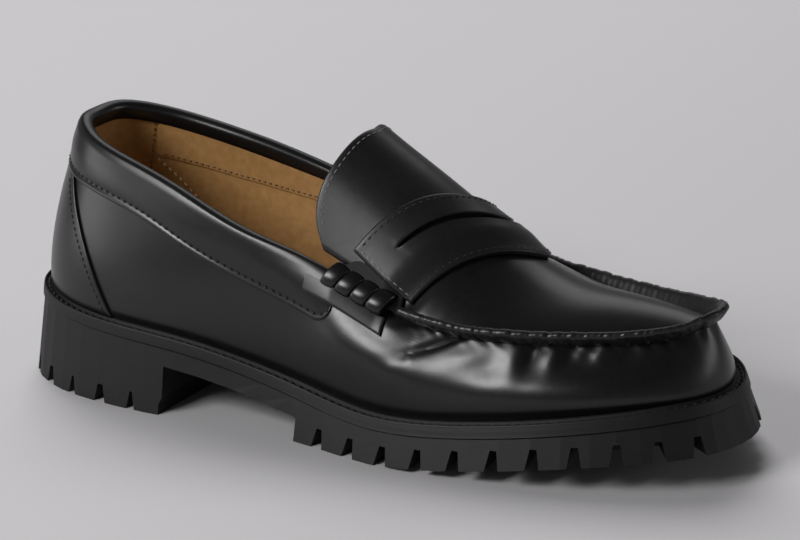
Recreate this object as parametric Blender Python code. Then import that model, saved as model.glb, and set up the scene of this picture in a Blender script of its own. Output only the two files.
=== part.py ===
"""Chunky lug sole loafer, right shoe, as a maker would put it together.

The shoe stands on the floor: +X points to the toe, +Y to the inner side of
the foot and +Z up. The script works in millimetres from the heel's back edge
and turns the result into metres round the middle of the shoe.
"""

import bmesh
import bpy
import numpy as np

MM = 0.001

# Sole
SOLE_LENGTH = 300.0
BALL_WIDTH = 104.0
TOE_SWING = 2.6
HEEL_HEIGHT = 36.5
TOE_SPRING = 13.0
SOLE_FLARE = 5.0
MIDSOLE_THICKNESS = 4.7
SOLE_STEP = 0.5
WELT_MARGIN = 5.0
HEEL_LENGTH = 80.0
WAIST_LENGTH = 60.0
WAIST_THICKNESS = 11.6
INSOLE_THICKNESS = 3.0

# Tread
LUG_DEPTH = 7.0
LUG_PITCH = 15.5
LUG_REACH = 17.0
GROOVE_TOP = 2.6
GROOVE_FLARE = 2.8
CHANNEL_WIDTH = 4.0
CHANNEL_DEPTH = 4.6
CROSS_DEPTH = 3.8

# Upper
COLLAR_RISE = 62.5
INSTEP_RISE = 44.0
UPPER_WALL = 2.0

# Pieces on the upper
CLEARANCE = 0.3
BAND_HEIGHT = 20.0
BAND_THICKNESS = 1.9
BAND_LIP = 4.5
COUNTER_THICKNESS = 1.0
TONGUE_THICKNESS = 2.2
STRAP_THICKNESS = 2.0
SLOT_WIDTH = 2.6
SEAM_HEIGHT = 4.6
SEAM_WIDTH = 3.4
SEAM_DROP = 2.6
ROLL_RADIUS = 3.9
ROLL_SWELL = 0.9
WRAP_COUNT = 4
TAB_WIDTH = 6.5
TAB_THICKNESS = 1.6

# Loop stations, from the heel's back to the toe tip, one row for each.
# along, outer and inner place the sole's top edge (shares of SOLE_LENGTH and
# BALL_WIDTH), seat is its height (share of HEEL_HEIGHT) and margin the welt
# left outside the upper (share of WELT_MARGIN).
#   along  outer   inner   seat   margin
SOLE_ROWS = (
    (0.00, 0.000, 0.000, 1.000, 0.86),
    (0.02, 0.231, 0.212, 0.992, 0.86),
    (0.07, 0.366, 0.313, 0.958, 0.88),
    (0.16, 0.441, 0.360, 0.898, 0.92),
    (0.30, 0.449, 0.351, 0.815, 0.92),
    (0.45, 0.432, 0.346, 0.578, 0.88),
    (0.58, 0.494, 0.437, 0.462, 0.98),
    (0.70, 0.500, 0.519, 0.538, 1.05),
    (0.82, 0.450, 0.505, 0.680, 1.05),
    (0.92, 0.336, 0.385, 0.795, 0.98),
    (0.98, 0.186, 0.187, 0.850, 0.86),
    (1.00, 0.000, 0.000, 0.855, 0.80),
)

# The wall's upper edge at the same stations: collar, then the long seam round
# the apron. rise is its height over the sole's edge (share of COLLAR_RISE).
# lean says how late the wall turns in, bulge how far it swells (share of
# BALL_WIDTH).
#   along   outer   inner   rise   lean  bulge
TOP_ROWS = (
    (0.0650, 0.000, 0.000, 1.035, 1.40, 0.010),
    (0.0755, 0.125, 0.130, 1.034, 1.40, 0.011),
    (0.1150, 0.224, 0.234, 0.995, 1.35, 0.016),
    (0.2057, 0.293, 0.298, 0.926, 1.30, 0.026),
    (0.3033, 0.343, 0.348, 0.840, 1.30, 0.028),
    (0.3933, 0.365, 0.370, 0.847, 1.30, 0.028),
    (0.4900, 0.351, 0.351, 0.781, 1.60, 0.030),
    (0.6100, 0.358, 0.358, 0.528, 2.00, 0.032),
    (0.7333, 0.341, 0.318, 0.387, 2.30, 0.034),
    (0.8350, 0.258, 0.234, 0.328, 2.00, 0.022),
    (0.9333, 0.132, 0.118, 0.350, 1.60, 0.006),
    (0.9655, 0.000, 0.000, 0.392, 1.50, 0.003),
)

# Middle line of the instep and apron: rise over the seam beside it.
#   along   rise (share of INSTEP_RISE)
INSTEP_ROWS = (
    (0.400, 1.250),
    (0.467, 1.055),
    (0.523, 0.950),
    (0.567, 0.880),
    (0.603, 0.795),
    (0.667, 0.589),
    (0.710, 0.448),
    (0.740, 0.355),
    (0.783, 0.277),
    (0.833, 0.239),
    (0.883, 0.186),
    (0.920, 0.120),
    (0.965, 0.000),
)

# Lower edge of the collar band: depth below the topline.
#   along   depth (share of BAND_HEIGHT)
BAND_ROWS = (
    (0.060, 0.85),
    (0.110, 0.80),
    (0.200, 0.74),
    (0.300, 0.86),
    (0.400, 0.98),
    (0.500, 1.03),
)

# Ends of the tongue on the instep, from its middle to its side.
#   side   rear    front (shares of SOLE_LENGTH)
TONGUE_ROWS = (
    (0.00, 0.493, 0.655),
    (0.29, 0.484, 0.640),
    (0.49, 0.476, 0.622),
    (0.68, 0.468, 0.598),
    (0.79, 0.468, 0.584),
    (0.87, 0.476, 0.572),
    (0.93, 0.488, 0.563),
)

THROAT_SIDE = 0.50
THROAT_MIDDLE = 0.093
THROAT_FADE = 0.71
BAND_END = 0.495
SEAM_START = 0.600
ROLL_START = 0.503
ROLL_END = 0.590
STRAP_SIDE_REAR = 0.85
STRAP_SIDE_FRONT = 0.93
STRAP_REAR = 0.624
STRAP_LENGTH = 0.096
STRAP_TURN = 0.35
STRAP_SWEEP_OUTER = 0.0513
STRAP_SWEEP_INNER = 0.120
STRAP_BEND = 0.45
SLOT_PLACE = 0.39
SLOT_SIDE = 0.70
SPRING_START = 0.593
COUNTER_TOP = 0.096
COUNTER_FOOT = 0.172

COLUMNS = 72
WALL_ROWS = 9
APRON_CELLS = 10
TOE_COUNT = 3

for old in list(bpy.data.objects):
    bpy.data.objects.remove(old, do_unlink=True)


def spline(knots, values, where):
    """Natural cubic curve through the rows of values."""
    knots = np.asarray(knots, float)
    values = np.asarray(values, float)
    n = len(knots)
    step = np.diff(knots)
    left = np.eye(n)
    right = np.zeros(n)
    for i in range(1, n - 1):
        left[i, i - 1] = step[i - 1]
        left[i, i] = 2 * (step[i - 1] + step[i])
        left[i, i + 1] = step[i]
        right[i] = 6 * ((values[i + 1] - values[i]) / step[i]
                        - (values[i] - values[i - 1]) / step[i - 1])
    bend = np.linalg.solve(left, right)
    where = np.asarray(where, float)
    i = np.clip(np.searchsorted(knots, where) - 1, 0, n - 2)
    h = step[i]
    a = (knots[i + 1] - where) / h
    b = (where - knots[i]) / h
    return (a * values[i] + b * values[i + 1]
            + ((a ** 3 - a) * bend[i] + (b ** 3 - b) * bend[i + 1]) * h * h / 6)


def ring_spline(knots, values, where):
    """Closed cubic curve: knots run from 0 to 1, where the curve closes."""
    knots = np.asarray(knots, float)
    values = np.asarray(values, float)
    n = len(knots)
    step = np.diff(np.append(knots, 1.0))
    left = np.zeros((n, n))
    right = np.zeros(n)
    for i in range(n):
        before = (i - 1) % n
        after = (i + 1) % n
        left[i, before] += step[before]
        left[i, i] += 2 * (step[before] + step[i])
        left[i, after] += step[i]
        right[i] = 6 * ((values[after] - values[i]) / step[i]
                        - (values[i] - values[before]) / step[before])
    bend = np.linalg.solve(left, right)
    where = np.mod(np.asarray(where, float), 1.0)
    i = np.clip(np.searchsorted(knots, where, side="right") - 1, 0, n - 1)
    j = (i + 1) % n
    h = step[i]
    b = (where - knots[i]) / h
    a = 1.0 - b
    return (a * values[i] + b * values[j]
            + ((a ** 3 - a) * bend[i] + (b ** 3 - b) * bend[j]) * h * h / 6)


def both_sides(outer, inner):
    """A column of the loop: outer side to the toe, inner side back."""
    outer = np.asarray(outer, float)
    inner = np.asarray(inner, float)
    return np.concatenate([outer, inner[-2:0:-1]])


def swing(x):
    """Sideways turn of the toe towards the inner side of the foot."""
    t = np.clip((np.asarray(x, float) / SOLE_LENGTH - 0.62) / 0.38, 0, 1)
    return TOE_SWING * t * t


SOLE = np.array(SOLE_ROWS)
TOP = np.array(TOP_ROWS)

SOLE_X = both_sides(SOLE[:, 0], SOLE[:, 0]) * SOLE_LENGTH
SOLE_Y = both_sides(-SOLE[:, 1], SOLE[:, 2]) * BALL_WIDTH + swing(SOLE_X)
SEAT_Z = both_sides(SOLE[:, 3], SOLE[:, 3]) * HEEL_HEIGHT
MARGIN = both_sides(SOLE[:, 4], SOLE[:, 4]) * WELT_MARGIN
TOP_X = both_sides(TOP[:, 0], TOP[:, 0]) * SOLE_LENGTH
TOP_Y = both_sides(-TOP[:, 1], TOP[:, 2]) * BALL_WIDTH + swing(TOP_X)
TOP_Z = SEAT_Z + both_sides(TOP[:, 3], TOP[:, 3]) * COLLAR_RISE
LEAN = both_sides(TOP[:, 4], TOP[:, 4])
BULGE = both_sides(TOP[:, 5], TOP[:, 5]) * BALL_WIDTH


def loop_knots():
    """Distances round the sole, made equal for the two sides."""
    reach = np.hypot(np.diff(np.append(SOLE_X, SOLE_X[0])),
                     np.diff(np.append(SOLE_Y, SOLE_Y[0])))
    even = 0.5 * (reach + reach[::-1])
    return np.concatenate([[0.0], np.cumsum(even)[:-1]]) / even.sum()


KNOTS = loop_knots()


def outline(u):
    """Sole's top edge in plan and its outward direction."""
    x = ring_spline(KNOTS, SOLE_X, u)
    y = ring_spline(KNOTS, SOLE_Y, u)
    e = 0.002
    dx = ring_spline(KNOTS, SOLE_X, np.asarray(u) + e) - ring_spline(KNOTS, SOLE_X, np.asarray(u) - e)
    dy = ring_spline(KNOTS, SOLE_Y, np.asarray(u) + e) - ring_spline(KNOTS, SOLE_Y, np.asarray(u) - e)
    size = np.hypot(dx, dy)
    return x, y, dy / size, -dx / size


def seat(x):
    """Height of the sole's top surface at a length."""
    return spline(SOLE[:, 0] * SOLE_LENGTH, SOLE[:, 3] * HEEL_HEIGHT, np.clip(x, 0, SOLE_LENGTH))


def spring(x):
    """Height of the tread's lowest surface at a length."""
    start = SPRING_START * SOLE_LENGTH
    t = np.clip((np.asarray(x, float) - start) / (SOLE_LENGTH - start), 0, 1)
    return TOE_SPRING * np.sin(0.5 * np.pi * t) ** 1.4


def wall(u, v):
    """Outer surface of the upper's wall: u round the shoe, v from sole to top edge."""
    u = np.asarray(u, float)
    v = np.asarray(v, float)
    x, y, nx, ny = outline(u)
    margin = ring_spline(KNOTS, MARGIN, u)
    foot_x = x - nx * margin
    foot_y = y - ny * margin
    foot_z = seat(x) + CLEARANCE
    top_x = ring_spline(KNOTS, TOP_X, u)
    top_y = ring_spline(KNOTS, TOP_Y, u)
    top_z = ring_spline(KNOTS, TOP_Z, u)
    lean = ring_spline(KNOTS, LEAN, u)
    swell = ring_spline(KNOTS, BULGE, u) * np.sin(np.pi * np.clip(v, 0, 1) ** 0.8)
    turn = np.clip(v, 0, None) ** lean
    px = foot_x + (top_x - foot_x) * turn + nx * swell
    py = foot_y + (top_y - foot_y) * turn + ny * swell
    pz = foot_z + (top_z - foot_z) * v
    return np.stack([px, py, pz], axis=-1)


def unit(a):
    return a / np.maximum(np.linalg.norm(a, axis=-1, keepdims=True), 1e-9)


def wall_frame(u, v):
    """Point, outward direction and upward direction of the wall."""
    u = np.asarray(u, float)
    v = np.clip(np.asarray(v, float), 0.0, 1.0)
    e = 0.002
    across = wall(u + e, v) - wall(u - e, v)
    low = np.clip(v - 0.02, 0, 1)
    high = np.clip(v + 0.02, 0, 1)
    up = wall(u, high) - wall(u, low)
    return wall(u, v), unit(np.cross(across, up)), unit(up)


FINE = np.linspace(0.0, 0.5, 400)
OUTER_EDGE = wall(FINE, 1.0 + 0 * FINE)
INNER_EDGE = wall(1.0 - FINE, 1.0 + 0 * FINE)


def edge_at(x, inner):
    """Half width and height of the top edge at a length, on one side."""
    edge = INNER_EDGE if inner else OUTER_EDGE
    width = np.interp(x, edge[:, 0], np.abs(edge[:, 1] - swing(edge[:, 0])))
    height = np.interp(x, edge[:, 0], edge[:, 2])
    return width, height


def u_at(x, inner=False):
    """Place round the loop where the top edge reaches a length."""
    edge = INNER_EDGE if inner else OUTER_EDGE
    u = np.interp(x, edge[:, 0], FINE)
    return 1.0 - u if inner else u


def instep(x, q):
    """Surface over the foot: q is -1 at the outer seam, 0 in the middle, 1 at the inner."""
    x = np.asarray(x, float)
    q = np.asarray(q, float)
    outer_w, outer_z = edge_at(x, False)
    inner_w, inner_z = edge_at(x, True)
    share = 0.5 + 0.5 * q
    edge_z = outer_z * (1 - share) + inner_z * share
    rise = spline([r[0] * SOLE_LENGTH for r in INSTEP_ROWS],
                  [r[1] * INSTEP_RISE for r in INSTEP_ROWS],
                  np.clip(x, 0.38 * SOLE_LENGTH, INSTEP_ROWS[-1][0] * SOLE_LENGTH))
    y = np.where(q < 0, q * outer_w, q * inner_w) + swing(x)
    z = edge_z + rise * (1 - np.abs(q) ** 2.0)
    return np.stack([x + 0 * q, y, z], axis=-1)


def instep_frame(x, q):
    x = np.asarray(x, float)
    q = np.asarray(q, float)
    along = instep(x + 0.8, q) - instep(x - 0.8, q)
    across = instep(x, q + 0.01) - instep(x, q - 0.01)
    return instep(x, q), unit(np.cross(along, across))


def material(name, color, roughness, metallic=0.0):
    made = bpy.data.materials.new(name)
    made.use_nodes = True
    shader = made.node_tree.nodes["Principled BSDF"]
    shader.inputs["Base Color"].default_value = (*color, 1.0)
    shader.inputs["Roughness"].default_value = roughness
    shader.inputs["Metallic"].default_value = metallic
    return made


BLACK_LEATHER = material("polished_black_leather", (0.012, 0.012, 0.013), 0.3)
BLACK_RUBBER = material("black_rubber", (0.016, 0.016, 0.017), 0.6)
TAN_LEATHER = material("tan_lining_leather", (0.50, 0.30, 0.12), 0.6)


def add_object(name, points, faces, look, smooth=True, closed=True):
    points = np.asarray(points, float) - np.array([MIDDLE_X, MIDDLE_Y, 0.0])
    mesh = bpy.data.meshes.new(name)
    mesh.from_pydata((points * MM).tolist(), [], [list(f) for f in faces])
    if closed:
        shape = bmesh.new()
        shape.from_mesh(mesh)
        bmesh.ops.recalc_face_normals(shape, faces=shape.faces)
        shape.to_mesh(mesh)
        shape.free()
    mesh.materials.append(look)
    if smooth:
        mesh.shade_smooth()
        mesh.set_sharp_from_angle(angle=0.7)
    made = bpy.data.objects.new(name, mesh)
    bpy.context.scene.collection.objects.link(made)
    return made


def tube(name, rings, look, closed=False):
    """Solid swept through a row of closed sections with the same corner count."""
    rings = np.asarray(rings, float)
    rows, corners = rings.shape[:2]
    faces = []
    last = rows if closed else rows - 1
    for i in range(last):
        a = i * corners
        b = ((i + 1) % rows) * corners
        for j in range(corners):
            k = (j + 1) % corners
            faces.append((a + j, b + j, b + k, a + k))
    if not closed:
        faces.append(tuple(range(corners)))
        faces.append(tuple((rows - 1) * corners + j for j in range(corners - 1, -1, -1)))
    return add_object(name, rings.reshape(-1, 3), faces, look)


def slab(name, points, normals, low, high, look):
    """Sheet solid between two offsets of a grid of points."""
    points = np.asarray(points, float)
    rows, cells = points.shape[:2]
    low = np.broadcast_to(np.asarray(low, float), (rows, cells))[..., None]
    high = np.broadcast_to(np.asarray(high, float), (rows, cells))[..., None]
    under = points + normals * low
    over = points + normals * high
    n = rows * cells
    every = np.concatenate([over.reshape(-1, 3), under.reshape(-1, 3)])
    faces = []
    for i in range(rows - 1):
        for j in range(cells - 1):
            a = i * cells + j
            b = a + 1
            c = a + cells + 1
            d = a + cells
            faces.append((a, b, c, d))
            faces.append((n + a, n + d, n + c, n + b))
    rim = [j for j in range(cells)]
    rim += [i * cells + cells - 1 for i in range(1, rows)]
    rim += [(rows - 1) * cells + j for j in range(cells - 2, -1, -1)]
    rim += [i * cells for i in range(rows - 2, 0, -1)]
    for i, a in enumerate(rim):
        b = rim[(i + 1) % len(rim)]
        faces.append((b, a, n + a, n + b))
    return add_object(name, every, faces, look)


def cutter(name, points, faces):
    made = add_object(name, points, faces, BLACK_RUBBER, smooth=False)
    made.hide_render = True
    made.display_type = "WIRE"
    return made


def cut(target, tool):
    step = target.modifiers.new("cut " + tool.name, "BOOLEAN")
    step.operation = "DIFFERENCE"
    step.solver = "EXACT"
    step.object = tool


def plate(name, upper_ring, lower_ring, look):
    """Solid between two loops; both faces are bridged from side to side."""
    n = len(upper_ring)
    half = n // 2
    faces = []
    for i in range(n):
        j = (i + 1) % n
        faces.append((i, n + i, n + j, j))
    for i in range(half):
        j = (n - i) % n
        k = (n - i - 1) % n
        if i == 0:
            faces.append((0, 1, n - 1))
            faces.append((n, 2 * n - 1, n + 1))
        elif i == half - 1:
            faces.append((i, half, j))
            faces.append((n + i, n + j, n + half))
        else:
            faces.append((i, i + 1, k, j))
            faces.append((n + i, n + j, n + k, n + i + 1))
    return add_object(name, np.concatenate([upper_ring, lower_ring]), faces, look)


def ring(u, out, height):
    x, y, nx, ny = outline(u)
    return np.stack([x + nx * out, y + ny * out, height(x)], axis=-1)


def spread(t):
    """Even steps drawn together at the heel and the toe, where the loop turns."""
    return t - 0.45 * np.sin(4 * np.pi * t) / (4 * np.pi)


ROUND = spread(np.arange(COLUMNS) / COLUMNS)


def side_out(x, share):
    """How far the sole's side stands out at a share of its height."""
    toe = np.clip((np.asarray(x, float) / SOLE_LENGTH - 0.3) / 0.5, 0, 1)
    return SOLE_FLARE * share * (0.95 + 0.15 * toe)


def split(x):
    return seat(x) - MIDSOLE_THICKNESS


# Middle of the tread's rim, the shoe's widest loop, which becomes the origin
RIM = ring(ROUND, side_out(outline(ROUND)[0], 1.0), spring)
MIDDLE_X, MIDDLE_Y = 0.5 * (RIM[:, :2].min(axis=0) + RIM[:, :2].max(axis=0))


# Midsole: the smooth upper layer of the unit, whose rim is the welt
def side_share(x):
    return MIDSOLE_THICKNESS / (seat(x) - spring(x))


SOLE_EDGE_X = outline(ROUND)[0]
midsole = plate(
    "midsole",
    ring(ROUND, 0 * ROUND, seat),
    ring(ROUND, side_out(SOLE_EDGE_X, side_share(SOLE_EDGE_X)), split),
    BLACK_RUBBER)

# Outsole: the lugged layer with its heel, cut from one flared block
outsole = plate(
    "outsole",
    ring(ROUND, side_out(SOLE_EDGE_X, side_share(SOLE_EDGE_X)) - SOLE_STEP,
         lambda x: split(x) - CLEARANCE),
    ring(ROUND, side_out(SOLE_EDGE_X, 1.0), spring),
    BLACK_RUBBER)


def prism(corners, depth):
    """Corners and faces of a solid swept from a polygon by a vector."""
    corners = np.asarray(corners, float)
    n = len(corners)
    points = np.concatenate([corners, corners + depth])
    faces = [tuple(range(n - 1, -1, -1)), tuple(range(n, 2 * n))]
    for i in range(n):
        j = (i + 1) % n
        faces.append((i, j, n + j, n + i))
    return points, faces


def gather(parts):
    points = []
    faces = []
    count = 0
    for part_points, part_faces in parts:
        points.append(part_points)
        faces += [tuple(count + k for k in f) for f in part_faces]
        count += len(part_points)
    return np.concatenate(points), faces


# Waist: the hollow between the heel's breast and the forefoot's first lug
FORE_START = HEEL_LENGTH + WAIST_LENGTH
REACH = BALL_WIDTH
arch_x = np.linspace(HEEL_LENGTH, FORE_START, 5)
arch = [(x, -REACH, float(seat(x)) - WAIST_THICKNESS) for x in arch_x]
arch += [(FORE_START, -REACH, -LUG_DEPTH), (HEEL_LENGTH - 0.5 * GROOVE_FLARE, -REACH, -LUG_DEPTH)]
arch += [(HEEL_LENGTH - 0.5 * GROOVE_FLARE, -REACH, 0.6 * LUG_DEPTH), (HEEL_LENGTH, -REACH, LUG_DEPTH)]
waist_points, waist_faces = prism(arch[::-1], np.array([0.0, 2 * REACH, 0.0]))
cut(outsole, cutter("waist_cutter", waist_points, waist_faces))


def arc_table(inner):
    """Distance along one side of the tread, from the heel's back to the toe tip."""
    u = np.linspace(0.0, 0.5, 600)
    around = 1.0 - u if inner else u
    x, y, nx, ny = outline(around)
    out = side_out(x, 1.0)
    px = x + nx * out
    py = y + ny * out
    s = np.concatenate([[0.0], np.cumsum(np.hypot(np.diff(px), np.diff(py)))])
    return u, px, s


def groove(u, narrow):
    """Tapered notch across the rim of the tread."""
    x, y, nx, ny = (float(a) for a in outline(u))
    out = float(side_out(x, 1.0))
    edge = np.array([x + nx * out, y + ny * out, float(spring(x))])
    outward = np.array([nx, ny, 0.0])
    sideways = np.array([-ny, nx, 0.0])
    top = 0.5 * (GROOVE_TOP - (0.6 * GROOVE_TOP if narrow else 0.0))
    foot = top + 0.5 * GROOVE_FLARE
    over = (foot - top) / LUG_DEPTH * CHANNEL_WIDTH
    start = edge + outward * CHANNEL_WIDTH
    corners = [start - sideways * (foot + over) - np.array([0, 0, CHANNEL_WIDTH]),
               start + sideways * (foot + over) - np.array([0, 0, CHANNEL_WIDTH]),
               start + sideways * top + np.array([0, 0, LUG_DEPTH]),
               start - sideways * top + np.array([0, 0, LUG_DEPTH])]
    return prism(corners, -outward * (LUG_REACH + CHANNEL_WIDTH))


grooves = []
for inner in (False, True):
    table_u, table_x, table_s = arc_table(inner)
    fore = float(np.interp(FORE_START, table_x, table_s))
    whole = table_s[-1]
    count = int((whole - fore - 0.5 * LUG_PITCH) / LUG_PITCH)
    for i in range(count):
        s = fore + LUG_PITCH * (i + 0.75)
        if whole - s < 0.45 * LUG_PITCH:
            continue
        at = float(np.interp(s, table_s, table_u))
        grooves.append(groove(1.0 - at if inner else at, False))
    heel = float(np.interp(HEEL_LENGTH, table_x, table_s))
    for i in range(int(heel / LUG_PITCH) - 1):
        s = heel - LUG_PITCH * (i + 0.95)
        at = float(np.interp(s, table_s, table_u))
        grooves.append(groove(1.0 - at if inner else at, i % 2 == 0))
groove_points, groove_faces = gather(grooves)
cut(outsole, cutter("groove_cutter", groove_points, groove_faces))


def channel(first, last):
    """Channel in the tread along the inner ends of the rim's lugs."""
    sections = []
    for u in np.linspace(first, last, 29):
        x, y, nx, ny = (float(a) for a in outline(u))
        out = float(side_out(x, 1.0)) - LUG_REACH
        outward = np.array([nx, ny, 0.0])
        edge = np.array([x, y, 0.0]) + outward * out
        z = float(spring(x))
        down = np.array([0.0, 0.0, z - CHANNEL_WIDTH])
        rise = np.array([0.0, 0.0, z + CHANNEL_DEPTH])
        deep = outward * CHANNEL_WIDTH
        sections.append([edge + down, edge + rise, edge - deep + rise, edge - deep + down])
    return sections


def place_at(x, inner):
    """Place round the loop where the tread's rim reaches a length."""
    table_u, table_x, table_s = arc_table(inner)
    u = float(np.interp(x, table_x, table_u))
    return 1.0 - u if inner else u


def cross_cut(x):
    """Straight cut across the middle of the tread."""
    reach = []
    for inner in (False, True):
        px, py, nx, ny = (float(a) for a in outline(place_at(x, inner)))
        reach.append(py + ny * (float(side_out(px, 1.0)) - LUG_REACH - 0.5 * CHANNEL_WIDTH))
    z = float(spring(x))
    half_cut = 0.5 * CHANNEL_WIDTH
    corners = [(x - half_cut, reach[0], z - CHANNEL_WIDTH), (x + half_cut, reach[0], z - CHANNEL_WIDTH),
               (x + half_cut, reach[0], z + CROSS_DEPTH), (x - half_cut, reach[0], z + CROSS_DEPTH)]
    return prism(corners, np.array([0.0, reach[1] - reach[0], 0.0]))


fore_first = FORE_START + 0.62 * LUG_PITCH
heel_last = HEEL_LENGTH - 0.83 * LUG_PITCH
for name, first, last in (
        ("fore_channel_cutter", place_at(fore_first, False), place_at(fore_first, True)),
        ("heel_channel_cutter", place_at(heel_last, True) - 1.0, place_at(heel_last, False))):
    made = tube(name, np.array(channel(first, last)), BLACK_RUBBER)
    made.hide_render = True
    made.display_type = "WIRE"
    cut(outsole, made)
crossings = [fore_first + (0.27 + 1.63 * i) * LUG_PITCH for i in range(5)]
crossings += [heel_last - 0.31 * LUG_PITCH, heel_last - 2.03 * LUG_PITCH]
cross_points, cross_faces = gather([cross_cut(x) for x in crossings])
cut(outsole, cutter("cross_cutter", cross_points, cross_faces))

# Upper: one hollow skin, open at the collar and along the sole
throat = int(np.searchsorted(ROUND, u_at(THROAT_SIDE * SOLE_LENGTH)))
half = COLUMNS // 2
rows = np.linspace(0.0, 1.0, WALL_ROWS + 1)
grid_u, grid_v = np.meshgrid(ROUND, rows)
skin = wall(grid_u, grid_v).reshape(-1, 3)
faces = []
for i in range(WALL_ROWS):
    for j in range(COLUMNS):
        k = (j + 1) % COLUMNS
        faces.append((i * COLUMNS + j, i * COLUMNS + k, (i + 1) * COLUMNS + k, (i + 1) * COLUMNS + j))
rim_row = WALL_ROWS * COLUMNS
apron = []
lines = []
last_line = half - TOE_COUNT
for j in range(throat, last_line + 1):
    left = skin[rim_row + j]
    right = skin[rim_row + COLUMNS - j]
    q = np.linspace(-1.0, 1.0, APRON_CELLS + 1)
    fade = np.clip((THROAT_FADE * SOLE_LENGTH - left[0]) / ((THROAT_FADE - THROAT_SIDE) * SOLE_LENGTH), 0, 1)
    fade = fade * fade * (3 - 2 * fade)
    share = 0.5 + 0.5 * q
    x = left[0] * (1 - share) + right[0] * share
    x = x + THROAT_MIDDLE * SOLE_LENGTH * fade * (1 - np.abs(q) ** 1.6)
    line = instep(x, q)
    first = len(skin) + len(apron)
    apron += [tuple(p) for p in line[1:-1]]
    lines.append([rim_row + j] + [first + m for m in range(APRON_CELLS - 1)] + [rim_row + COLUMNS - j])
for a, b in zip(lines[:-1], lines[1:]):
    for m in range(APRON_CELLS):
        faces.append((a[m], b[m], b[m + 1], a[m + 1]))
toe_edge = [rim_row + j for j in range(last_line, COLUMNS - last_line + 1)]
for m in range(APRON_CELLS):
    a = toe_edge[round(m * 2 * TOE_COUNT / APRON_CELLS)]
    b = toe_edge[round((m + 1) * 2 * TOE_COUNT / APRON_CELLS)]
    corners = [lines[-1][m], a, b, lines[-1][m + 1]]
    faces.append(tuple(dict.fromkeys(corners)))
upper = add_object("upper", np.concatenate([skin, np.array(apron)]), faces, BLACK_LEATHER, closed=False)
upper.data.materials.append(TAN_LEATHER)
shell = upper.modifiers.new("wall", "SOLIDIFY")
shell.thickness = UPPER_WALL * MM
shell.offset = -1.0
shell.use_even_offset = True
shell.use_quality_normals = True
shell.material_offset = 1

# Insole: fills the upper's foot, on the midsole
x, y, nx, ny = outline(ROUND)
inset = ring_spline(KNOTS, MARGIN, ROUND) + UPPER_WALL + 2 * CLEARANCE
insole_x = x - nx * inset
insole_y = y - ny * inset
insole = plate(
    "insole",
    np.stack([insole_x, insole_y, seat(x) + CLEARANCE + INSOLE_THICKNESS], axis=-1),
    np.stack([insole_x, insole_y, seat(x) + CLEARANCE], axis=-1),
    TAN_LEATHER)


def columns(first, last):
    """The upper's own columns between two places, with both ends."""
    near = 0.2 / COLUMNS
    between = np.concatenate([ROUND - 1, ROUND, ROUND + 1])
    between = between[(between > first + near) & (between < last - near)]
    return np.concatenate([[first], between, [last]])


def band_depth(x):
    return BAND_HEIGHT * spline([r[0] * SOLE_LENGTH for r in BAND_ROWS], [r[1] for r in BAND_ROWS],
                                np.clip(x, BAND_ROWS[0][0] * SOLE_LENGTH, BAND_ROWS[-1][0] * SOLE_LENGTH))


def band_foot(u):
    """Share of the wall's height where the collar band's lower edge lies."""
    tall = ring_spline(KNOTS, TOP_Z, u) - seat(outline(u)[0])
    return 1.0 - band_depth(ring_spline(KNOTS, TOP_X, u)) / tall


def plumb(u, v):
    """Place round the loop that puts a lower point under the top edge at u."""
    target = float(ring_spline(KNOTS, TOP_X, u))
    here = float(wall(u, v)[0])
    share = np.clip((target / SOLE_LENGTH - 0.12) / 0.12, 0, 1)
    goal = here + share * share * (3 - 2 * share) * (target - here)
    place = float(u)
    for _ in range(4):
        ahead = float(wall(place + 0.002, v)[0])
        behind = float(wall(place - 0.002, v)[0])
        slope = (ahead - behind) / 0.004
        if abs(slope) < 40.0:
            break
        place -= (float(wall(place, v)[0]) - goal) / slope
    return place


# Collar band: folded over the topline from one roll round the heel to the other
end = float(u_at(BAND_END * SOLE_LENGTH))
sections = []
for u in columns(-end, end):
    foot = float(band_foot(u))
    inside_line = []
    outside_line = []
    for s in (0.0, 0.35, 0.7, 1.0):
        v = foot + (1 - foot) * s
        point, out, up = wall_frame(plumb(u, v), v)
        thick = BAND_THICKNESS * (0.6 + 0.4 * np.sin(np.pi * min(s + 0.15, 1.0) * 0.5))
        under = CLEARANCE * 1.8
        inside_line.append(point + out * under)
        outside_line.append(point + out * (under + thick))
    point, out, up = wall_frame(u, 1.0)
    inner_face = UPPER_WALL + CLEARANCE
    crest = 2 * CLEARANCE + BAND_THICKNESS
    section = outside_line
    section += [point + out * 0.3 * BAND_THICKNESS + up * 0.85 * crest,
                point - out * 0.5 * UPPER_WALL + up * crest,
                point - out * (inner_face + 0.3 * BAND_THICKNESS) + up * 0.8 * crest,
                point - out * (inner_face + 0.7 * BAND_THICKNESS) - up * 0.3 * BAND_LIP,
                point - out * (inner_face + 0.5 * BAND_THICKNESS) - up * BAND_LIP,
                point - out * inner_face - up * BAND_LIP,
                point - out * inner_face + up * 1.8 * CLEARANCE,
                point + out * 1.8 * CLEARANCE + up * 1.8 * CLEARANCE]
    section += inside_line[2::-1]
    sections.append(section)
tube("collar_band", np.array(sections), BLACK_LEATHER)

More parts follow.
